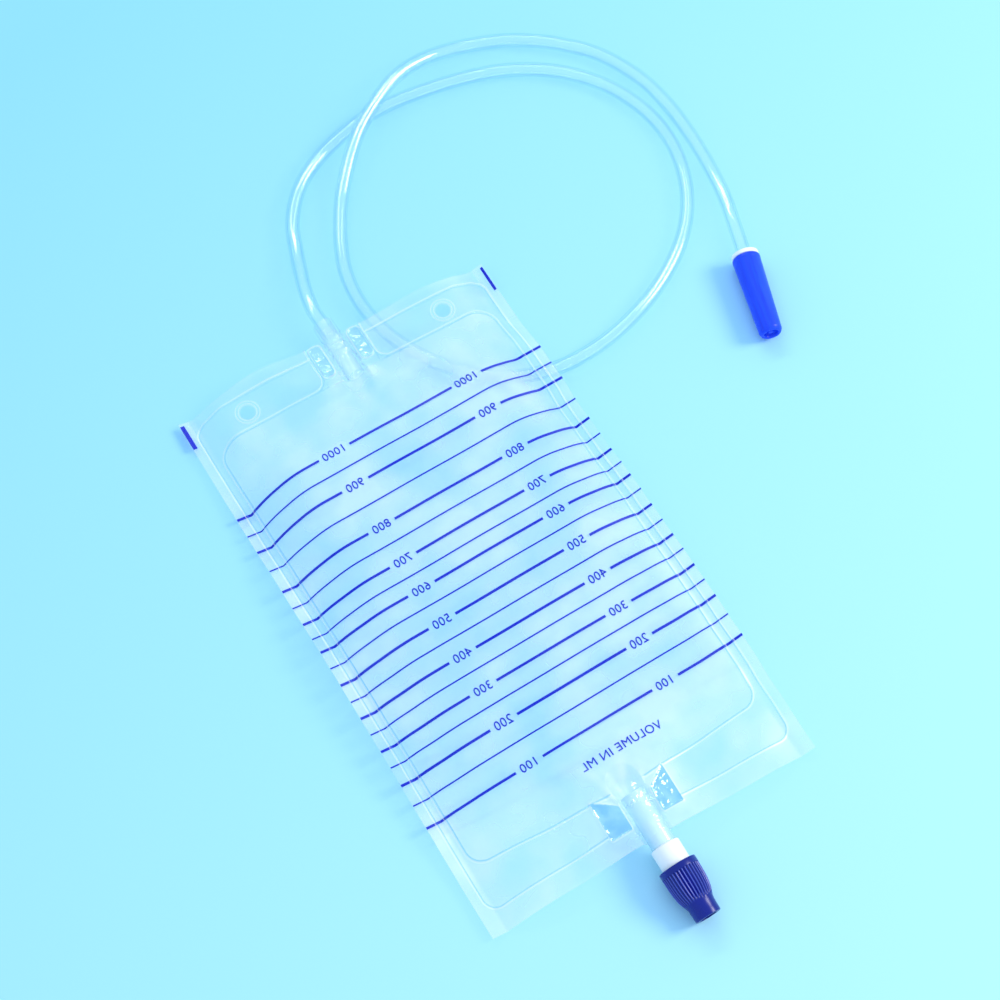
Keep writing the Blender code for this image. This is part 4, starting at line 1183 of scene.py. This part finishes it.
class OBJECT_OT_drainage_connector(Operator):
    """Build the taper connector and its cap"""
    bl_idname = "object.drainage_connector"
    bl_label = "Connector and cap"

    def execute(self, context):
        settings = context.scene.drainage_fitting
        placing = connector_placing()
        socket, socket_floor = 0.0038, 0.0051
        flange_front, flange_back = -0.0003, -0.0003 - FLANGE_THICKNESS
        flange, tip_bore = 0.0067, 0.0021
        profile = [
            (socket, flange_back), (flange, flange_back), (flange, flange_front),
            (taper_radius(0.0), flange_front), (taper_radius(TAPER_LENGTH), TAPER_LENGTH),
            (tip_bore, TAPER_LENGTH), (tip_bore, socket_floor), (socket, socket_floor),
        ]
        connector = turned_piece("taper_connector", rounded(profile, 0.0005, 4), 56, placing)
        finish = moulded("white_moulding_finish", settings.body_colour, WHITE_SHADE, SATIN)
        dress(connector, finish, BAG, "tube_connector")

        rim, tip = CAP_RIM / 2, CAP_TIP / 2
        mouth, blind = taper_radius(0.0) + 0.0003, TAPER_LENGTH + 0.0003
        profile = [
            (mouth, 0.0), (rim, 0.0), (rim, 0.0016), (rim - 0.0001, 0.0022),
            (tip + 0.0002, CAP_LENGTH - 0.0016), (tip - 0.0007, CAP_LENGTH), (0.0036, CAP_LENGTH),
            (0.0031, CAP_LENGTH - 0.0020), (0.0017, CAP_LENGTH - 0.0020), (0.0013, CAP_LENGTH - 0.0009),
            (POLE, CAP_LENGTH - 0.0009), (POLE, blind), (taper_radius(TAPER_LENGTH) + 0.0003, blind),
        ]
        cap = turned_piece("blue_connector_cap", rounded(profile, 0.0005, 4), 64, placing)
        finish = moulded(
            "cap_finish", settings.cap_colour, (0.012, 0.050, 0.78), 0.28, grain=0.05, specular=0.35,
            tint=(0.8, 0.87, 1.0), drawn=math.atan2(-CONNECTOR_HEADING[0], CONNECTOR_HEADING[1]))
        dress(cap, finish, "cap", "connector_cap")
        return {"FINISHED"}


# Outlet tube and valve

def valve_placing():
    place = Matrix.Translation((0.0, RIM_Y + MID_Y, rim_height()))
    return place @ Matrix.Rotation(math.pi / 2 + VALVE_TILT, 4, "X")


class OBJECT_OT_drainage_outlet(Operator):
    """Build the clear outlet tube and the white valve body"""
    bl_idname = "object.drainage_outlet"
    bl_label = "Outlet tube and valve body"

    def execute(self, context):
        settings = context.scene.drainage_fitting
        placing = valve_placing()
        outer, bore = OUTLET_OUTER / 2, OUTLET_OUTER / 2 - OUTLET_WALL
        end = -BODY_EXPOSED - WELD_GAP
        profile = [(bore, -OUTLET_START), (outer, -OUTLET_START), (outer, end), (bore, end)]
        outlet = turned_piece("clear_outlet_tube", rounded(profile, 0.0003, 3), 64, placing)
        finish = clear_plastic(
            "outlet_finish", (0.74, 0.915, 0.98), (0.62, 0.86, 0.98), clearness=0.52, roughness=0.2,
            gloss=0.08, grain=0.05, shadow=0.10)
        dress(outlet, finish, BAG, "outlet_tube")

        foot, head = -BODY_EXPOSED - SPIGOT_LENGTH, BODY_HEAD / 2
        profile = [
            (BODY_BORE / 2, foot), (SPIGOT_OUTER / 2 - 0.0004, foot), (SPIGOT_OUTER / 2, foot + BODY_EDGE),
            (SPIGOT_OUTER / 2, -BODY_EXPOSED), (head, -BODY_EXPOSED), (head, HEAD_IN_SLEEVE),
            (SHANK_OUTER / 2, HEAD_IN_SLEEVE), (SHANK_OUTER / 2, SHANK_END), (NECK_OUTER / 2, SHANK_END),
            (NECK_OUTER / 2, NECK_END), (PLUG_OUTER / 2, PLUG_START), (PLUG_OUTER / 2, PLUG_END),
            (POLE, PLUG_END), (POLE, BORE_END), (BODY_BORE / 2, BORE_END),
        ]
        body = turned_piece("white_valve_body", rounded(profile, BODY_EDGE, 5), 72, placing)
        for turn in (0.0, math.pi / 2):
            deselect()
            bpy.ops.mesh.primitive_cube_add(size=1.0)
            window = bpy.context.object
            window.data.transform(
                placing @ Matrix.Translation((0.0, 0.0, (WINDOW_START + WINDOW_END) / 2))
                @ Matrix.Rotation(turn, 4, "Z")
                @ Matrix.Diagonal((NECK_OUTER + 0.002, WINDOW_WIDTH, WINDOW_END - WINDOW_START, 1.0)))
            apply_modifier(body, "BOOLEAN", object=window, operation="DIFFERENCE", solver="EXACT")
            only(window)
            bpy.ops.object.delete()
        only(body)
        bpy.ops.object.shade_smooth_by_angle(angle=TURNED_SMOOTH)
        finish = moulded("white_valve_finish", settings.body_colour, WHITE_SHADE, SATIN)
        dress(body, finish, BAG, "valve_body")
        return {"FINISHED"}


def rib_ring(radius, place, depth, ribs, steps):
    """A ring of points whose grooves follow a round wave, with flat lands between them."""
    points = []
    for k in range(steps):
        angle = math.tau * k / steps
        wave = 0.5 - 0.5 * math.cos(angle * ribs)
        r = radius - depth * wave
        points.append((r * math.cos(angle), r * math.sin(angle), place))
    return points


class OBJECT_OT_drainage_sleeve(Operator):
    """Build the ribbed screw sleeve with its nozzle"""
    bl_idname = "object.drainage_sleeve"
    bl_label = "Screw sleeve"

    def execute(self, context):
        settings = context.scene.drainage_fitting
        ribs, depth = settings.grip_ribs, settings.rib_depth
        steps = ribs * 8
        shank, chamber, orifice = 0.0060, 0.0052, 0.0031
        outside = [
            (0.00855, 0.0, 0.0), (0.00880, 0.00010, 0.0), (0.0089, 0.0005, 0.0), (0.0089, 0.0024, 0.0),
            (0.00889, 0.0028, 0.0), (0.00884, 0.0031, 0.8), (0.00880, 0.0036, 1.0), (0.00870, 0.0080, 1.0),
            (0.00850, 0.0108, 1.0), (0.00815, 0.0132, 1.0), (0.0077, 0.0150, 1.0), (0.00722, 0.0163, 0.75),
            (0.00690, 0.0170, 0.3), (0.0067, 0.0175, 0.0), (0.00638, 0.0186, 0.0), (0.00618, 0.0200, 0.0),
            (0.0061, 0.0225, 0.0), (0.0061, 0.0246, 0.0), (0.0060, 0.0251, 0.0), (0.0057, SLEEVE_LENGTH, 0.0),
        ]
        hollow = [
            (0.0041, SLEEVE_LENGTH), (0.0041, 0.0186), (orifice, 0.0186), (orifice, 0.0168),
            (chamber, 0.0156), (chamber, 0.01065), (0.0062, 0.01065), (0.0062, 0.00875),
            (shank, 0.00875), (shank, 0.0025), (0.00755, 0.0025), (0.00755, 0.0003), (0.0078, 0.0),
        ]
        rings = [rib_ring(r, z, depth * share, ribs, steps) for r, z, share in outside]
        rings += [rib_ring(r, z, 0.0, ribs, steps) for r, z in hollow]
        deselect()
        bpy.ops.mesh.primitive_circle_add(vertices=steps, radius=rings[0][0][0], fill_type="NOTHING")
        sleeve = named("ribbed_valve_sleeve")
        bpy.ops.object.mode_set(mode="EDIT")
        bpy.ops.mesh.select_all(action="SELECT")
        for _ in range(len(rings) - 1):
            bpy.ops.mesh.extrude_edges_move(TRANSFORM_OT_translate={"value": (0.0, 0.0, 0.001)})
        bpy.ops.object.mode_set(mode="OBJECT")
        layer = [round(v.co.z / 0.001) for v in sleeve.data.vertices]
        for vertex, ring in zip(sleeve.data.vertices, layer):
            turn = math.atan2(vertex.co.y, vertex.co.x) % math.tau
            vertex.co = rings[ring][round(turn / math.tau * steps) % steps]
        bpy.ops.object.mode_set(mode="EDIT")
        bpy.ops.mesh.select_all(action="DESELECT")
        bpy.ops.mesh.select_mode(type="EDGE")
        bpy.ops.mesh.select_non_manifold()
        bpy.ops.mesh.bridge_edge_loops()
        end_with_faces_outward()
        # Painted highlight on the grip ribs' crests, kept in the ridge attribute
        ridge = []
        for vertex, ring in zip(sleeve.data.vertices, layer):
            share = outside[ring][2] if ring < len(outside) else 0.0
            turn = math.atan2(vertex.co.y, vertex.co.x)
            ridge.append(share * max(0.0, math.cos(turn * ribs)) ** 2)
        sleeve.data.attributes.new("ridge", "FLOAT", "POINT").data.foreach_set("value", ridge)
        sleeve.data.transform(valve_placing())
        bpy.ops.object.shade_smooth_by_angle(angle=math.radians(40))
        finish = moulded(
            "sleeve_finish", settings.sleeve_colour, (0.002, 0.003, 0.17), 0.26, grain=0.05,
            tint=(0.72, 0.80, 1.0), painted_crest_highlight=("ridge", (0.10, 0.13, 0.56)))
        dress(sleeve, finish, "sleeve", "valve_sleeve")

        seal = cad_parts["valve_seal"]
        seal.data.materials.clear()
        seal.data.materials.append(moulded("seal_finish", (0.03, 0.03, 0.03), (0.02, 0.02, 0.02), 0.5))
        return {"FINISHED"}


# Studio

CAMERA_TARGET = Vector((0.0268, 0.0489, 0.0))
CAMERA_DISTANCE = 1.0845
CAMERA_TURN = math.radians(31.15)
CAMERA_RISE = math.radians(64.86)
CAMERA_LENS = 84.6
SENSOR_WIDTH = 36.0
FLOOR_SIZE = 8.0
FLOOR_DROP = 0.0002
# Slope and range of the floor's painted light, lighter towards the lower right
FLOOR_PAINTED_LIGHT_SLOPE = (0.17, -0.985)
FLOOR_PAINTED_LIGHT_RANGE = (-0.39, 0.30)
ROOM_LIGHT = (0.57, 0.76, 1.0)
ROOM_SEEN = (0.52, 0.92, 1.0)
FILM_LAYERS = 32
SOFT_BOUNCES = 2


class OBJECT_OT_drainage_studio(Operator):
    """Set the floor, the lamps and the camera"""
    bl_idname = "object.drainage_studio"
    bl_label = "Studio"

    def execute(self, context):
        settings = context.scene.drainage_studio
        deselect()
        bpy.ops.mesh.primitive_plane_add(size=FLOOR_SIZE, location=(0.0, 0.0, -FLOOR_DROP))
        floor = named("studio_floor")
        mat, tree, shader = new_material("floor_finish")
        # Painted light: the floor runs from a darker upper left to a lighter lower right, standing in for the
        # key lamp's falloff
        place = fill(add(tree, "ShaderNodeSeparateXYZ"), Vector=object_place(tree)).outputs
        painted_light_slope = maths(tree, "MULTIPLY_ADD", place["X"], FLOOR_PAINTED_LIGHT_SLOPE[0],
                     maths(tree, "MULTIPLY", place["Y"], FLOOR_PAINTED_LIGHT_SLOPE[1]))
        factor = ranged(tree, painted_light_slope, *FLOOR_PAINTED_LIGHT_RANGE, 0.0, 1.0)
        fill(shader, Base_Color=mixed(tree, factor, settings.floor_far, settings.floor_near),
             Roughness=0.9, Specular_IOR_Level=0.1)
        floor.data.materials.append(mat)

        world = bpy.data.worlds.new("studio_room")
        world.use_nodes = True
        tree = world.node_tree
        light = add(tree, "ShaderNodeLightPath").outputs
        seen = light["Is Camera Ray"]
        for ray in ("Is Glossy Ray", "Is Transmission Ray"):
            seen = maths(tree, "MAXIMUM", seen, light[ray])
        lit = tuple(settings.sky_strength * value for value in ROOM_LIGHT)
        fill(tree.nodes["Background"], Color=mixed(tree, seen, lit, ROOM_SEEN))
        context.scene.world = world

        power = settings.key_power
        self.lamp("key_lamp", (0.942, -0.335, 0.75), 2.4, power, (1.0, 0.88, 0.70), size=0.95)
        self.lamp("strip_lamp", (0.14, 0.68, 0.72), 1.6, power * 0.13, (0.90, 0.96, 1.0),
                  shape="RECTANGLE", size=1.1, size_y=0.14)

        camera_data = bpy.data.cameras.new("bag_camera")
        camera_data.lens = CAMERA_LENS
        camera_data.sensor_width = SENSOR_WIDTH
        camera_data.sensor_fit = "HORIZONTAL"
        camera = bpy.data.objects.new("bag_camera", camera_data)
        context.scene.collection.objects.link(camera)
        away = Vector((-math.sin(CAMERA_TURN) * math.cos(CAMERA_RISE),
                       -math.cos(CAMERA_TURN) * math.cos(CAMERA_RISE), math.sin(CAMERA_RISE)))
        camera.location = CAMERA_TARGET + away * CAMERA_DISTANCE
        camera.rotation_euler = (math.pi / 2 - CAMERA_RISE, 0.0, -CAMERA_TURN)
        context.scene.camera = camera
        context.scene.view_settings.view_transform = "Standard"
        context.scene.cycles.transparent_max_bounces = FILM_LAYERS
        context.scene.cycles.diffuse_bounces = SOFT_BOUNCES
        context.scene.cycles.glossy_bounces = SOFT_BOUNCES
        return {"FINISHED"}

    @staticmethod
    def lamp(name, place, distance, power, colour, shape="DISK", **sizes):
        direction = Vector(place).normalized()
        light = bpy.data.lights.new(name, "AREA")
        light.shape = shape
        for key, value in sizes.items():
            setattr(light, key, value)
        light.energy = power
        light.color = colour
        lamp = bpy.data.objects.new(name, light)
        bpy.context.scene.collection.objects.link(lamp)
        lamp.location = CAMERA_TARGET + direction * distance
        lamp.rotation_euler = direction.to_track_quat("Z", "Y").to_euler()


class VIEW3D_PT_drainage_bag(Panel):
    """Lists the pieces of the drainage bag"""
    bl_label = "Drainage bag"
    bl_idname = "VIEW3D_PT_drainage_bag"
    bl_space_type = "VIEW_3D"
    bl_region_type = "UI"
    bl_category = "Drainage bag"

    def draw(self, context):
        for operator in PIECE_OPERATORS:
            self.layout.operator(operator.bl_idname)
        for group in SETTING_GROUPS:
            settings = getattr(context.scene, group)
            box = self.layout.box()
            for key in settings.bl_rna.properties.keys():
                if key not in ("rna_type", "name"):
                    box.prop(settings, key)


# In the order in which they are built
PIECE_OPERATORS = (
    OBJECT_OT_drainage_studio, OBJECT_OT_drainage_connector, OBJECT_OT_drainage_tube,
    OBJECT_OT_drainage_port, OBJECT_OT_drainage_films, OBJECT_OT_drainage_print,
    OBJECT_OT_drainage_outlet, OBJECT_OT_drainage_sleeve,
)
SETTING_GROUPS = {
    "drainage_film": DrainageFilmSettings,
    "drainage_print": DrainagePrintSettings,
    "drainage_tube": DrainageTubeSettings,
    "drainage_fitting": DrainageFittingSettings,
    "drainage_studio": DrainageStudioSettings,
}
CLASSES = (*SETTING_GROUPS.values(), *PIECE_OPERATORS, VIEW3D_PT_drainage_bag)


def register():
    for cls in CLASSES:
        bpy.utils.register_class(cls)
    for name, cls in SETTING_GROUPS.items():
        setattr(bpy.types.Scene, name, PointerProperty(type=cls))


def unregister():
    for name in SETTING_GROUPS:
        delattr(bpy.types.Scene, name)
    for cls in reversed(CLASSES):
        bpy.utils.unregister_class(cls)


def main():
    register()
    bpy.ops.object.drainage_studio()
    bpy.ops.object.drainage_connector()
    bpy.ops.object.drainage_tube()
    bpy.ops.object.drainage_port()
    bpy.ops.object.drainage_films()
    bpy.ops.object.drainage_print()
    bpy.ops.object.drainage_outlet()
    bpy.ops.object.drainage_sleeve()


if __name__ == "__main__":
    main()
